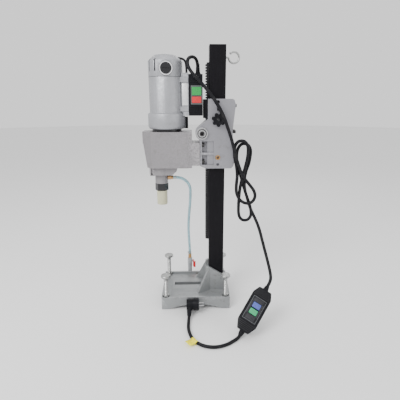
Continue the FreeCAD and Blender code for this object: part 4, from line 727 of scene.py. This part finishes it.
def slab_into(bm, low, high, nip, matrix=None):
    """A block with rounded edges, added to a bmesh."""
    part = bmesh.new()
    bmesh.ops.create_cube(part, size=1.0)
    low, high = Vector(low), Vector(high)
    size, middle = high - low, (low + high) / 2
    for v in part.verts:
        v.co = Vector((v.co[i] * size[i] + middle[i] for i in range(3)))
    bmesh.ops.bevel(part, geom=list(part.edges), offset=nip, segments=3, profile=0.5,
                    affect="EDGES", clamp_overlap=True)
    if matrix:
        part.transform(matrix)
    mesh = bpy.data.meshes.new("block")
    part.to_mesh(mesh)
    part.free()
    bm.from_mesh(mesh)
    bpy.data.meshes.remove(mesh)


def slabs(name, boxes, body, material, slot=None, nip=0.0006, matrix=None):
    bm = bmesh.new()
    for low, high in boxes:
        slab_into(bm, low, high, nip, matrix)
    return piece(name, bm, body, material, slot, 50.0)


def spline_line(route, per_span=10):
    """Points along the smooth curve that the route's control points make."""
    shape = bpy.data.curves.new("route", "CURVE")
    shape.dimensions = "3D"
    spline = shape.splines.new("NURBS")
    spline.points.add(len(route) - 1)
    for point, at in zip(spline.points, route):
        point.co = (*at, 1.0)
    spline.order_u = 3
    spline.use_endpoint_u = True
    spline.resolution_u = per_span
    holder = bpy.data.objects.new("route", shape)
    bpy.context.scene.collection.objects.link(holder)
    mesh = bpy.data.meshes.new_from_object(holder)
    line = [v.co.copy() for v in mesh.vertices]
    bpy.data.objects.remove(holder)
    bpy.data.curves.remove(shape)
    bpy.data.meshes.remove(mesh)
    return line


def tube_along(name, line, radius, body, material, slot, steps=20):
    """A round tube whose rings follow the line without twisting."""
    side = (line[1] - line[0]).orthogonal().normalized()
    rings = []
    for i, at in enumerate(line):
        way = (line[min(i + 1, len(line) - 1)] - line[max(i - 1, 0)]).normalized()
        side = (side - way * side.dot(way)).normalized()
        across = way.cross(side)
        rings.append([at + (side * math.cos(a) + across * math.sin(a)) * radius
                      for a in (2 * math.pi * k / steps for k in range(steps))])
    return piece(name, rings_to_mesh(rings), body, material, slot, 60.0)


def breaker_space():
    """Where the lead's breaker lies: its long way up, its face towards the viewer."""
    up = (BREAKER_TOP - BREAKER_FOOT).normalized()
    deep = (BREAKER_INWARD - up * BREAKER_INWARD.dot(up)).normalized()
    side = deep.cross(up)
    turn = Matrix((side, deep, up)).transposed().to_4x4()
    return Matrix.Translation((BREAKER_TOP + BREAKER_FOOT) / 2) @ turn


class RigPart:
    """What every operator here shares."""
    bl_options = {"REGISTER", "UNDO"}


# ---------------------------------------------------------------- stage

class RIG_OT_camera(RigPart, bpy.types.Operator):
    """Place the camera level with the lower motor, looking a little down"""
    bl_idname = "rig.camera"
    bl_label = "Camera"

    def execute(self, context):
        data = bpy.data.cameras.new("camera")
        data.sensor_width = 36.0
        data.lens = 36.0 * 340.0 / 400.0
        data.shift_x = -0.013
        data.clip_start, data.clip_end = 0.05, 30.0
        camera = bpy.data.objects.new("camera", data)
        context.scene.collection.objects.link(camera)
        yaw, pitch = math.radians(-1.8), math.radians(16.0)
        camera.location = (-0.0004, -1.322, 0.808)
        way = Vector((-math.sin(yaw) * math.cos(pitch), math.cos(yaw) * math.cos(pitch),
                      -math.sin(pitch)))
        camera.rotation_mode = "QUATERNION"
        camera.rotation_quaternion = way.to_track_quat("-Z", "Y")
        context.scene.camera = camera
        return {"FINISHED"}


class RIG_OT_stage(RigPart, bpy.types.Operator):
    """Lay the pale floor and hang the soft lights"""
    bl_idname = "rig.stage"
    bl_label = "Floor and lights"

    def execute(self, context):
        stage = context.scene.rig_stage
        rings = []
        for reach in (0.5, 2.0, 6.0, 12.0):
            rings.append([Vector((reach * math.cos(a), reach * math.sin(a), -0.0004))
                          for a in (2 * math.pi * k / 48 for k in range(48))])
        bm = rings_to_mesh(rings, close_ends=False)
        boundary = [e for e in bm.edges if e.is_boundary
                    and (e.verts[0].co.xy.length < 0.6)]
        bmesh.ops.holes_fill(bm, edges=boundary)
        for face in bm.faces:
            if face.normal.z < 0:
                face.normal_flip()
        made = Finish("floor_sweep", tuple(stage.floor), 0.60)
        made.tint(made.spread(made.noise(0.8, 2.0), 0.3, 0.7, 0.0, 0.25), (0.83, 0.83, 0.835))
        made.relief(made.noise(0.004, 2.0), 0.00005, 0.4)
        FINISHES["floor_sweep"] = made.material
        floor = piece("floor", bm, None, "floor_sweep")
        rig.stage(floor)

        world = bpy.data.worlds.new("surround")
        world.use_nodes = True
        background = world.node_tree.nodes["Background"]
        background.inputs["Color"].default_value = (1.0, 1.0, 1.0, 1.0)
        background.inputs["Strength"].default_value = stage.sky
        context.scene.world = world
        for name, at, size, power, aim in (
                ("key_light", (-1.3, -1.7, 2.1), 1.3, stage.key, (0.0, 0.0, 0.6)),
                ("fill_light", (1.9, -1.2, 1.2), 1.4, stage.fill, (0.0, 0.0, 0.5)),
                ("back_light", (0.4, 2.0, 2.0), 1.4, stage.fill, (0.0, 0.0, 0.6)),
                ("top_light", (0.0, 0.0, 2.8), 1.6, stage.fill, (0.0, 0.0, 0.0))):
            data = bpy.data.lights.new(name, "AREA")
            data.size, data.energy = size, power
            light = bpy.data.objects.new(name, data)
            light.location = at
            light.rotation_mode = "QUATERNION"
            light.rotation_quaternion = (Vector(aim) - Vector(at)).to_track_quat("-Z", "Y")
            context.scene.collection.objects.link(light)
        return {"FINISHED"}


# ---------------------------------------------------------------- lead and hose

class RIG_OT_mains_lead(RigPart, bpy.types.Operator):
    """Run the mains lead from the switch, over itself in a hank, to the breaker"""
    bl_idname = "rig.mains_lead"
    bl_label = "Mains lead"

    def execute(self, context):
        lines = context.scene.rig_lines
        boot = ribbed_boot("lead_boot", Vector(LEAD_ROUTE[0]) - Vector((0, 0, 0.011)), (0, 0, 1),
                           0.031, 0.0088, lines.lead_thickness / 2 + 0.0006, "carriage")
        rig.slot(boot, "black_plastic")
        line = spline_line(LEAD_ROUTE)
        lead = tube_along("mains_lead_run", line, lines.lead_thickness / 2, None,
                          "lead_rubber", "lead_rubber")
        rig.blend(lead, "base", "carriage", start=(0, 0, 0.16), end=(0, 0, 0.40))
        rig.replaces(lead, "mains_lead", "lead_hank", "lead_drop")
        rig.cord(lead, exit=LEAD_ROUTE[0], length=lines.lead_length,
                diameter=lines.lead_thickness, far_end="connector", stiffness="limp",
                lay="hanging", path=line, with_pieces=[boot])
        tail_line = spline_line(TAIL_ROUTE)
        tail = tube_along("motor_tail_run", tail_line, lines.tail_thickness / 2, "carriage",
                          "lead_rubber", "lead_rubber")
        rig.cord(tail, exit=TAIL_ROUTE[0], length=lines.tail_length,
                diameter=lines.tail_thickness, far_end="object", stiffness="limp",
                lay="taut", path=tail_line)
        return {"FINISHED"}


def ribbed_boot(name, at, axis, reach, wide, narrow, body):
    """A tapered strain relief, slotted into segments along its length."""
    profile, count = [(narrow * 0.9, 0.0)], 7
    for k in range(count):
        for share, dip in ((0.08, 0.0012), (0.16, 0.0), (0.72, 0.0), (0.80, 0.0012)):
            t = (k + share) / count
            profile.append((wide + (narrow - wide) * t - dip, reach * t))
    profile += [(narrow - 0.0002, reach), (narrow * 0.8, reach)]
    return lathe(name, profile, at, axis, body, "black_plastic", sharp=50.0)


class RIG_OT_plug_lead(RigPart, bpy.types.Operator):
    """Lay the short lead from the breaker to the plug, with its blank yellow flag"""
    bl_idname = "rig.plug_lead"
    bl_label = "Plug lead"

    def execute(self, context):
        lines = context.scene.rig_lines
        line = spline_line(PLUG_LEAD_ROUTE)
        lead = tube_along("plug_lead_run", line, lines.lead_thickness / 2, "base",
                          "lead_rubber", "lead_rubber")
        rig.replaces(lead, "plug_lead")
        flag = self.flag(line)
        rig.cord(lead, exit=PLUG_LEAD_ROUTE[0], length=lines.plug_lead_length,
                diameter=lines.lead_thickness, far_end="plug", stiffness="limp",
                lay="loose", path=line, with_pieces=[flag])
        return {"FINISHED"}

    @staticmethod
    def flag(line):
        """A strip of card wrapped round the lead, its two halves curling off to one side."""
        at = min(line, key=lambda p: (p - Vector((-0.004, -0.315, 0.0055))).length)
        k = line.index(at)
        along = (line[k + 1] - line[k - 1]).normalized()
        out = Vector((along.y, -along.x, 0.0)).normalized()
        if out.x > 0:
            out = -out
        up, half, radius, thick = Vector((0, 0, 1)), 0.0145, 0.0064, 0.00035
        outline = []
        for i in range(13):
            t = math.radians(25 + (335 - 25) * i / 12)
            outline.append(at + out * math.cos(t) * radius + up * math.sin(t) * radius)
        reach = [(0.012, 0.0034), (0.022, 0.0040), (0.032, 0.0062)]
        first = [at + out * x + up * z for x, z in reversed(reach)]
        last = [at + out * x + up * (z - 0.0008) for x, z in reach]
        spine = first + outline + last
        spine = [Vector((p.x, p.y, max(p.z, 0.0008))) for p in spine]
        bm = bmesh.new()
        rows = [[bm.verts.new(p + along * s) for p in spine] for s in (-half, -half / 3,
                                                                        half / 3, half)]
        for one, two in zip(rows, rows[1:]):
            for i in range(len(spine) - 1):
                bm.faces.new((one[i], one[i + 1], two[i + 1], two[i]))
        made = piece("lead_flag", bm, "base", "tag_paper", None, 60.0)
        card = made.modifiers.new("card", "SOLIDIFY")
        card.thickness, card.offset = thick, 0.0
        return made


class RIG_OT_water_hose(RigPart, bpy.types.Operator):
    """Hang the clear hose from the water swivel to the valve, with a clip at each end"""
    bl_idname = "rig.water_hose"
    bl_label = "Water hose"

    def execute(self, context):
        lines = context.scene.rig_lines
        line = spline_line(HOSE_ROUTE)
        hose = tube_along("water_hose_run", line, lines.hose_thickness / 2, None,
                          "clear_hose", "hose_pvc", 28)
        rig.blend(hose, "base", "carriage", start=(0, 0, 0.155), end=(0, 0, 0.455))
        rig.replaces(hose, "water_hose")
        grip = lines.hose_thickness / 2
        upper = hose_clip("hose_clip_upper", Vector(HOSE_ROUTE[0]) + Vector((0.006, 0, 0)),
                          (1, 0, 0), grip, "carriage")
        lower = hose_clip("hose_clip_lower", Vector(HOSE_ROUTE[-1]) + Vector((0, 0, 0.004)),
                          (0, 0, 1), grip, "base")
        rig.cord(hose, exit=HOSE_ROUTE[0], length=lines.hose_length,
                diameter=lines.hose_thickness, far_end="object", stiffness="medium",
                lay="hanging", path=line, with_pieces=[upper, lower])
        dress("brass", "water_fitting")
        return {"FINISHED"}


def hose_clip(name, at, axis, grip, body):
    """A worm-drive band with its screw housing."""
    way = Vector(axis)
    band = bmesh.new()
    ring = washer(name + "_band", grip, grip + 0.0007, 0.006, at, axis, body, "zinc_plate",
                  "zinc_steel")
    turn = way.to_track_quat("Z", "Y").to_matrix().to_4x4()
    space = Matrix.Translation(at) @ turn
    band.from_mesh(ring.data)
    slab_into(band, (grip, -0.0045, 0.0006), (grip + 0.0042, 0.0045, 0.0054), 0.0008, space)
    bpy.data.objects.remove(ring)
    return piece(name, band, body, "zinc_plate", "zinc_steel")


# ---------------------------------------------------------------- stand

class RIG_OT_base(RigPart, bpy.types.Operator):
    """Round and paint the base casting and dress the lock nuts"""
    bl_idname = "rig.base"
    bl_label = "Base casting"

    def execute(self, context):
        cast = context.scene.rig_castings
        softened("base_casting", "base_paint", cast.base_round, 3)
        softened("levelling_lock_nuts", "zinc_plate", 0.0008, 2)
        softened("column_bolts", "zinc_plate", 0.0006, 2)
        return {"FINISHED"}


class RIG_OT_levelling_screws(RigPart, bpy.types.Operator):
    """Cut the thread and turn the flared head of the four levelling screws"""
    bl_idname = "rig.levelling_screws"
    bl_label = "Levelling screws"

    def execute(self, context):
        column = context.scene.rig_column
        for corner in ("front_left", "front_right", "rear_left", "rear_right"):
            node = f"levelling_bolt_{corner}"
            low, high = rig.box(node)
            screw = threaded_screw(node + "_cut", (low + high) / 2, low.z, high.z,
                                   (high.x - low.x) / 2, column, body_with(node))
            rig.replaces(screw, node)
        return {"FINISHED"}


def threaded_screw(name, middle, foot, top, head, column, body):
    """A screw with a true helical thread, a flared neck and a head with a worn rim."""
    shank, pitch, depth = 0.008, column.thread_pitch, column.thread_depth
    neck, flare = top - 0.009, 0.011
    steps, rows = 36, []
    thread_top = neck - flare - 0.003
    count = int((thread_top - foot) / (pitch / 5))
    for j in range(count + 1):
        z = foot + (thread_top - foot) * j / count
        ring = []
        for i in range(steps):
            turn = i / steps
            phase = ((z - foot) / pitch - turn) % 1.0
            cut = depth * (1.0 - abs(2.0 * phase - 1.0))
            lead_in = min(1.0, (z - foot) / 0.003)
            r = (shank - depth) + cut * lead_in - (1.0 - lead_in) * 0.0009
            ring.append(Vector((middle.x + r * math.cos(2 * math.pi * turn),
                                middle.y + r * math.sin(2 * math.pi * turn), z)))
        rows.append(ring)
    profile = [(shank, thread_top + 0.0012), (shank + 0.0004, neck - flare)]
    for t in (0.25, 0.5, 0.75, 0.9):
        profile.append((shank + (head - 0.002 - shank) * t ** 1.6, neck - flare * (1 - t)))
    profile += [(head - 0.0012, neck - 0.0006), (head, neck + 0.0010), (head, top - 0.0014),
                (head - 0.0014, top), (head * 0.72, top), (head * 0.66, top - 0.0010),
                (head * 0.15, top - 0.0010)]
    for r, z in profile:
        rows.append([Vector((middle.x + r * math.cos(2 * math.pi * i / steps),
                             middle.y + r * math.sin(2 * math.pi * i / steps), z))
                     for i in range(steps)])
    return piece(name, rings_to_mesh(rows), body, "zinc_plate", "zinc_steel", 30.0)


class RIG_OT_column(RigPart, bpy.types.Operator):
    """Coat the square column and dress its cap, rack and cable hook"""
    bl_idname = "rig.column"
    bl_label = "Column and rack"

    def execute(self, context):
        softened("column_tube", "column_coat", 0.0035, 4, 60.0)
        softened("column_cap", "black_plastic", 0.0012, 3)
        softened("rack", "rack_steel", 0.0003, 1)
        dress("black_oxide", "rack_screws")
        dress("zinc_plate", "cable_hook")
        return {"FINISHED"}


# ---------------------------------------------------------------- carriage

class RIG_OT_carriage(RigPart, bpy.types.Operator):
    """Round and paint the carriage casting and dress its screws, pads and pinion"""
    bl_idname = "rig.carriage"
    bl_label = "Carriage"

    def execute(self, context):
        cast = context.scene.rig_castings
        softened("carriage_casting", "carriage_paint", cast.casting_round, 3)
        pads = softened("guide_pads", "pad_plastic", 0.0004, 1)
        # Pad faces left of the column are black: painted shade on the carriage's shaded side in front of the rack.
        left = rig.box("column_tube")[0].x - 0.0052
        repaint(pads, "black_plastic", lambda c: c.x < left)
        softened("flange_bolts", "black_oxide", 0.0005, 2)
        softened("adjusting_screws", "black_oxide", 0.0005, 2)
        softened("cable_clip", "black_plastic", 0.0006, 2)
        dress("brass", "threaded_insert")
        dress("bronze", "pinion_bushes")
        shaft = softened("pinion_shaft", "hub_steel", 0.0004, 2)
        repaint(shaft, "rack_steel", lambda c: abs(c.y) < 0.014)
        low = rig.box("pinion_shaft")[0]
        middle = Vector((PINION_X, low.y, PINION_Z))
        repaint(shaft, "black_oxide", lambda c: c.y < low.y + 0.03 and
                math.hypot(c.x - middle.x, c.z - middle.z) < 0.0082)
        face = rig.box("carriage_casting")[0].y
        # The black groove ring between the two bright rings is painted shade in the recess.
        for name, inner, outer, proud, metal in (
                ("pinion_hub_ring", 0.0168, 0.0222, 0.0014, "hub_steel"),
                ("pinion_hub_groove", 0.0134, 0.0168, 0.0006, "black_oxide"),
                ("pinion_hub_lip", 0.0131, 0.0140, 0.0012, "hub_steel")):
            washer(name, inner, outer, proud + 0.0006, (middle.x, face - proud, middle.z),
                   (0, 1, 0), "carriage", metal, "tool_steel", 64)
        washer("pinion_end_ring", 0.0066, 0.0096, 0.0005, (middle.x, low.y - 0.0004, middle.z),
               (0, 1, 0), "pinion", "black_oxide", "tool_steel", 48)
        return {"FINISHED"}


class RIG_OT_lock_knob(RigPart, bpy.types.Operator):
    """Shape the lobed lock knob with its rounded rim and dished face"""
    bl_idname = "rig.lock_knob"
    bl_label = "Lock knob"

    def execute(self, context):
        plastic = context.scene.rig_plastics
        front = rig.box("lock_knob")[0].y
        steps = 210
        body_r, lobe_r, count = plastic.knob_radius, plastic.knob_lobe, plastic.knob_lobes

        def lobed(angle):
            """Reach of the outline: round lobes whose centres lie on the disc's rim."""
            away = (angle - math.radians(12)) % (2 * math.pi / count)
            away = min(away, 2 * math.pi / count - away)
            across = body_r * math.sin(away)
            if across >= lobe_r:
                return body_r
            return max(body_r, body_r * math.cos(away) + math.sqrt(lobe_r ** 2 - across ** 2))

        layers = [  # distance back from the front, share of the outline, share of the wave
            (0.0008, 0.30, 0.0), (0.0022, 0.42, 0.0), (0.0026, 0.52, 0.1), (0.0012, 0.70, 0.5),
            (0.0003, 0.84, 0.9), (0.0002, 0.91, 1.0), (0.0016, 0.975, 1.0), (0.0036, 1.0, 1.0),
            (0.0115, 1.0, 1.0), (0.0136, 0.975, 1.0), (0.0150, 0.92, 0.9), (0.0150, 0.58, 0.0),
            (0.0160, 0.50, 0.0), (0.0199, 0.47, 0.0), (0.0199, 0.29, 0.0)]
        rings = []
        for back, share, wave in layers:
            ring = []
            for i in range(steps):
                a = 2 * math.pi * i / steps
                r = (body_r + (lobed(a) - body_r) * wave) * share
                ring.append(Vector((KNOB_X + r * math.cos(a), front + back,
                                    KNOB_Z + r * math.sin(a))))
            rings.append(ring)
        knob = piece("lock_knob_grip", rings_to_mesh(rings), "lock_knob", "black_plastic",
                     "black_plastic", 40.0)
        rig.replaces(knob, "lock_knob")
        lathe("lock_knob_boss", [(0.0005, 0.0), (0.0040, 0.0), (0.0052, 0.0008),
                                 (0.0056, 0.0026), (0.0056, 0.0040)],
              (KNOB_X, front + 0.0004, KNOB_Z), (0, 1, 0), "lock_knob", "gloss_black",
              "black_plastic", 40)
        return {"FINISHED"}


# ---------------------------------------------------------------- gearbox and spindle

class RIG_OT_gearbox(RigPart, bpy.types.Operator):
    """Round and paint the gearbox, its cover and the nose under it"""
    bl_idname = "rig.gearbox"
    bl_label = "Gearbox and nose"

    def execute(self, context):
        cast = context.scene.rig_castings
        softened("gearbox_housing", "gearbox_paint", cast.casting_round * 1.4, 3)
        softened("gearbox_cover", "gearbox_paint", cast.casting_round, 2)
        softened("nose_cover", "gearbox_paint", cast.casting_round * 1.4, 3)
        softened("nose_screws", "black_oxide", 0.0004, 2)
        return {"FINISHED"}


class RIG_OT_spindle(RigPart, bpy.types.Operator):
    """Dress the water swivel, the spindle nut and the thread protector"""
    bl_idname = "rig.spindle"
    bl_label = "Spindle end"

    def execute(self, context):
        softened("water_swivel", "gearbox_paint", 0.0010, 3)
        softened("spindle_nut", "gloss_black", 0.0014, 3)
        low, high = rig.box("thread_sleeve")
        middle = (low + high) / 2
        radius, tall = (high.x - low.x) / 2, high.z - low.z
        profile = [(radius * 0.77, 0.0012), (radius * 0.80, 0.0004), (radius * 0.93, 0.0),
                   (radius * 0.975, 0.0012)]
        for k in range(1, 9):
            z = tall * k / 9
            profile += [(radius * 0.985, z - 0.0009), (radius * 0.972, z),
                        (radius * 0.985, z + 0.0009)]
        profile += [(radius, tall - 0.006), (radius, tall - 0.0012), (radius * 0.97, tall),
                    (radius * 0.78, tall)]
        sleeve = lathe("thread_protector", profile, (middle.x, middle.y, low.z), (0, 0, 1),
                       "spindle", "sleeve_plastic", "cream_plastic", 72, 55.0)
        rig.replaces(sleeve, "thread_sleeve")
        return {"FINISHED"}


# ---------------------------------------------------------------- motor and switch

class RIG_OT_motor(RigPart, bpy.types.Operator):
    """Round and paint the motor's barrel and cap and dress the brush caps"""
    bl_idname = "rig.motor"
    bl_label = "Motor"

    def execute(self, context):
        cast = context.scene.rig_castings
        barrel = softened("motor_housing", "motor_paint", cast.casting_round, 2)
        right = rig.box("motor_end_cap")[1].x + 0.0082
        repaint(barrel, "black_plastic", lambda c: c.x > right and abs(c.y) < 0.012)
        softened("motor_end_cap", "motor_paint", cast.casting_round, 3)
        softened("brush_caps", "gloss_black", 0.0010, 3)
        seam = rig.box("motor_end_cap")[0].z
        self.brush_rings()
        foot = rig.box("motor_housing")[0].z
        # A gloss black ring round the neck under the collar: painted shadow where the neck lies in shade.
        washer("neck_shadow_ring", 0.0532, 0.0560, 0.0098, (MOTOR_X, 0.0, foot - 0.0099), (0, 0, 1),
               "carriage", "gloss_black", "black_plastic", 96)
        washer("cap_seam_line", 0.0610, 0.06215, 0.0009, (MOTOR_X, 0.0, seam - 0.0004),
               (0, 0, 1), "carriage", "black_plastic", "black_plastic", 96)
        screw_circle, screw_seat = 0.046, 0.9605
        for k, turn in enumerate((40, 140, 220, 320)):
            a = math.radians(turn)
            at = Vector((MOTOR_X + screw_circle * math.cos(a), screw_circle * math.sin(a),
                         screw_seat))
            lathe(f"cap_screw_{k + 1}", [(0.0036, -0.004), (0.0036, 0.0030), (0.0031, 0.0038),
                                         (0.0019, 0.0038), (0.0018, 0.0018), (0.0004, 0.0018)],
                  at, (0, 0, 1), "carriage", "zinc_plate", "zinc_steel", 28)
        return {"FINISHED"}

    @staticmethod
    def brush_rings():
        """A bright ring round each brush cap, square to the way that the cap screws in."""
        spots = [v.co for v in frame["nodes"]["brush_caps"].data.vertices]
        for side, name in ((-1, "front"), (1, "rear")):
            own = [p for p in spots if p.y * side > 0]
            middle = sum(own, Vector()) / len(own)
            way = Vector((middle.x - MOTOR_X, middle.y, 0.0)).normalized()
            reach = max((p - Vector((MOTOR_X, 0.0, 0.0))).dot(way) for p in own)
            at = Vector((MOTOR_X, 0.0, middle.z)) + way * (reach - 0.0012)
            washer(f"brush_ring_{name}", 0.0198, 0.0236, 0.0018, at, way, "carriage",
                   "plate_foil", "motor_silver", 72)
            # The black ring beside each bright ring is painted shade in the groove round it.
            washer(f"brush_groove_{name}", 0.0236, 0.0246, 0.0014, at, way, "carriage",
                   "black_oxide", "motor_silver", 72)


class RIG_OT_switch(RigPart, bpy.types.Operator):
    """Finish the switch box with its bracket, frame, ridges and two marked buttons"""
    bl_idname = "rig.switch"
    bl_label = "Switch box"

    def execute(self, context):
        cast = context.scene.rig_castings
        softened("switch_bracket", "motor_paint", cast.casting_round, 3)
        softened("switch_housing", "black_plastic", 0.0020, 3)
        softened("switch_bezel", "bezel_plastic", 0.0007, 2)
        softened("start_button", "start_plastic", 0.0018, 3)
        softened("stop_button", "stop_plastic", 0.0018, 3)
        softened("lead_gland", "black_plastic", 0.0006, 2)
        low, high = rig.box("switch_housing")
        ridges = []
        for k in range(5):
            z = low.z + 0.006 + k * 0.0062
            ridges.append(((low.x + 0.004, low.y - 0.0016, z),
                           (high.x - 0.004, low.y + 0.001, z + 0.0030)))
        for k in range(4):
            z = high.z - 0.010 - k * 0.0062
            ridges.append(((low.x + 0.004, low.y - 0.0014, z),
                           (high.x - 0.004, low.y + 0.001, z + 0.0026)))
        slabs("switch_ridges", ridges, "carriage", "black_plastic", "black_plastic", 0.0007)
        slabs("rating_plate", [((-0.0435, -0.0292, 0.798), (-0.0225, -0.0276, 0.874))],
              "carriage", "plate_foil", "motor_silver", 0.0003)
        self.marks()
        return {"FINISHED"}

    @staticmethod
    def marks():
        """A raised bar on the start button and a raised ring on the stop button."""
        low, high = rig.box("start_button")
        middle = (low + high) / 2
        slabs("start_mark", [((middle.x - 0.0008, low.y - 0.0004, middle.z - 0.0055),
                              (middle.x + 0.0008, low.y + 0.0006, middle.z + 0.0055))],
              "start_button", "start_plastic", "green_plastic", 0.0003)
        low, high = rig.box("stop_button")
        middle = (low + high) / 2
        washer("stop_mark", 0.0032, 0.0046, 0.0010, (middle.x, low.y - 0.0004, middle.z),
               (0, 1, 0), "stop_button", "stop_plastic", "red_plastic", 40)


# ---------------------------------------------------------------- water valve

class RIG_OT_valve(RigPart, bpy.types.Operator):
    """Finish the shut-off valve and its red lever"""
    bl_idname = "rig.valve"
    bl_label = "Water valve"

    def execute(self, context):
        valve = softened("hose_valve", "valve_plastic", 0.0006, 2)
        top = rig.box("hose_valve")[1].z
        repaint(valve, "brass", lambda c: c.z > top - 0.0185)
        softened("valve_lever", "stop_plastic", 0.0014, 3)
        return {"FINISHED"}


# ---------------------------------------------------------------- breaker and plug

class RIG_OT_breaker(RigPart, bpy.types.Operator):
    """Finish the breaker in the lead with its panel, grips, seam and buttons"""
    bl_idname = "rig.breaker"
    bl_label = "Breaker"

    def execute(self, context):
        softened("rcd_housing", "black_plastic", 0.0040, 4, 30.0)
        softened("rcd_test_button", "test_plastic", 0.0016, 3)
        softened("rcd_reset_button", "reset_plastic", 0.0016, 3)
        space = breaker_space()
        grips = []
        for k in range(5):
            z = 0.0745 - k * 0.0058
            wide = 0.0225 + k * 0.0024
            grips.append(((-wide, -0.0214, z), (wide, -0.0185, z + 0.0028)))
            grips.append(((-wide, -0.0214, -z - 0.0028), (wide, -0.0185, -z)))
        slabs("breaker_grips", grips, "base", "gloss_black", "black_plastic", 0.0008, space)
        slabs("breaker_panel", [((-0.0235, -0.0210, -0.0395), (-0.0160, -0.0190, 0.0425)),
                                ((0.0160, -0.0210, -0.0395), (0.0235, -0.0190, 0.0425)),
                                ((-0.0235, -0.0210, -0.0395), (0.0235, -0.0190, -0.0195)),
                                ((-0.0235, -0.0210, 0.0270), (0.0235, -0.0190, 0.0425))],
              "base", "panel_plastic", "black_plastic", 0.0006, space)
        # Light grey strips round the panel: seam lines of the case, made lighter as a painted highlight along the
        # panel's edges.
        slabs("breaker_edges", [((-0.0256, -0.0213, -0.0420), (-0.0242, -0.0185, 0.0450)),
                                ((0.0242, -0.0213, -0.0420), (0.0256, -0.0185, 0.0450)),
                                ((-0.0256, -0.0213, -0.0428), (0.0256, -0.0185, -0.0414)),
                                ((-0.0256, -0.0213, 0.0438), (0.0256, -0.0185, 0.0452))],
              "base", "line_plastic", "grey_plastic", 0.0004, space)
        self.seam(space)
        return {"FINISHED"}

    @staticmethod
    def seam(space):
        """The line round the waist where the two halves of the case meet."""
        half = (BREAKER_TOP - BREAKER_FOOT).length / 2 - 0.018
        outline = [(-0.022, -half), (0.022, -half), (0.036, 0.030 - half),
                   (0.036, half - 0.026), (0.024, half), (-0.024, half),
                   (-0.036, half - 0.026), (-0.036, 0.030 - half)]
        bm = bmesh.new()
        rows = []
        for depth, grow in ((0.0009, -0.0008), (-0.0009, -0.0008), (-0.0009, 0.0004),
                            (0.0009, 0.0004)):
            ring = []
            for x, z in outline:
                push = Vector((x, 0.0, z)).normalized() * grow
                ring.append(bm.verts.new(space @ (Vector((x, depth, z)) + push)))
            rows.append(ring)
        for one, two in zip(rows, rows[1:] + rows[:1]):
            for i in range(len(outline)):
                k = (i + 1) % len(outline)
                bm.faces.new((one[i], one[k], two[k], two[i]))
        bmesh.ops.recalc_face_normals(bm, faces=bm.faces)
        piece("breaker_seam", bm, "base", "line_plastic", "grey_plastic", 30.0)


class RIG_OT_plug(RigPart, bpy.types.Operator):
    """Finish the angled plug with its bright pins, rim and finger grips"""
    bl_idname = "rig.plug"
    bl_label = "Mains plug"

    def execute(self, context):
        low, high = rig.box("mains_plug")
        pins, middle_y = high.x - 0.0188, high.y - 0.024
        middle_z = high.z - 0.024
        plug = softened("mains_plug", "black_plastic", 0.0022, 3)
        repaint(plug, "ground_steel", lambda c: c.x > pins)
        for k in range(4):
            washer(f"plug_grip_{k + 1}", 0.0206, 0.0217, 0.0024,
                   (low.x + 0.0050 + k * 0.0048, middle_y, middle_z), (1, 0, 0), "base",
                   "black_plastic", "black_plastic", 48)
        washer("plug_rim", 0.0212, 0.0242, 0.0016, (high.x - 0.0208, middle_y, middle_z),
               (1, 0, 0), "base", "panel_plastic", "black_plastic", 64)
        return {"FINISHED"}


# ---------------------------------------------------------------- inside the machine

class RIG_OT_inner_works(RigPart, bpy.types.Operator):
    """Dress the gears, bearings, windings and other pieces inside the housings"""
    bl_idname = "rig.inner_works"
    bl_label = "Inner works"

    def execute(self, context):
        dress("ground_steel", "spindle", "spindle_gear", "counter_shaft", "counter_gear",
              "armature_shaft", "ball_bearings")
        dress("winding", "stator", "armature_core")
        dress("carbon", "brush_gear")
        dress("white_plastic", "cooling_fan")
        dress("seal_rubber", "spindle_seal")
        return {"FINISHED"}


class RIG_PT_sidebar(bpy.types.Panel):
    """Lists the pieces of the rig in the order in which they are made"""
    bl_idname = "RIG_PT_sidebar"
    bl_label = "Core Drill Rig"
    bl_space_type = "VIEW_3D"
    bl_region_type = "UI"
    bl_category = "Drill Rig"

    def draw(self, context):
        for group, kind in GROUPS.items():
            box = self.layout.box()
            box.label(text=kind.__doc__)
            for key in kind.__annotations__:
                box.prop(getattr(context.scene, group), key)
        for step in STEPS:
            self.layout.operator(step.bl_idname)


STEPS = (
    RIG_OT_camera, RIG_OT_mains_lead, RIG_OT_plug_lead, RIG_OT_water_hose, RIG_OT_stage,
    RIG_OT_base, RIG_OT_levelling_screws, RIG_OT_column, RIG_OT_carriage, RIG_OT_lock_knob,
    RIG_OT_gearbox, RIG_OT_spindle, RIG_OT_motor, RIG_OT_switch, RIG_OT_valve,
    RIG_OT_breaker, RIG_OT_plug, RIG_OT_inner_works,
)


def register():
    for kind in (*GROUPS.values(), *STEPS, RIG_PT_sidebar):
        bpy.utils.register_class(kind)
    for name, kind in GROUPS.items():
        setattr(bpy.types.Scene, name, PointerProperty(type=kind))


def unregister():
    for name in GROUPS:
        delattr(bpy.types.Scene, name)
    for kind in reversed((*GROUPS.values(), *STEPS, RIG_PT_sidebar)):
        bpy.utils.unregister_class(kind)


def main():
    register()
    for step in STEPS:
        group, name = step.bl_idname.split(".")
        getattr(getattr(bpy.ops, group), name)()
    boxes = {"cad": [list(corner) for corner in CAD_BOX],
             "visual": [list(corner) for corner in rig.bounds()]}
    with open("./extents.json", "w") as out:
        json.dump(boxes, out, indent=1)


if __name__ == "__main__":
    main()
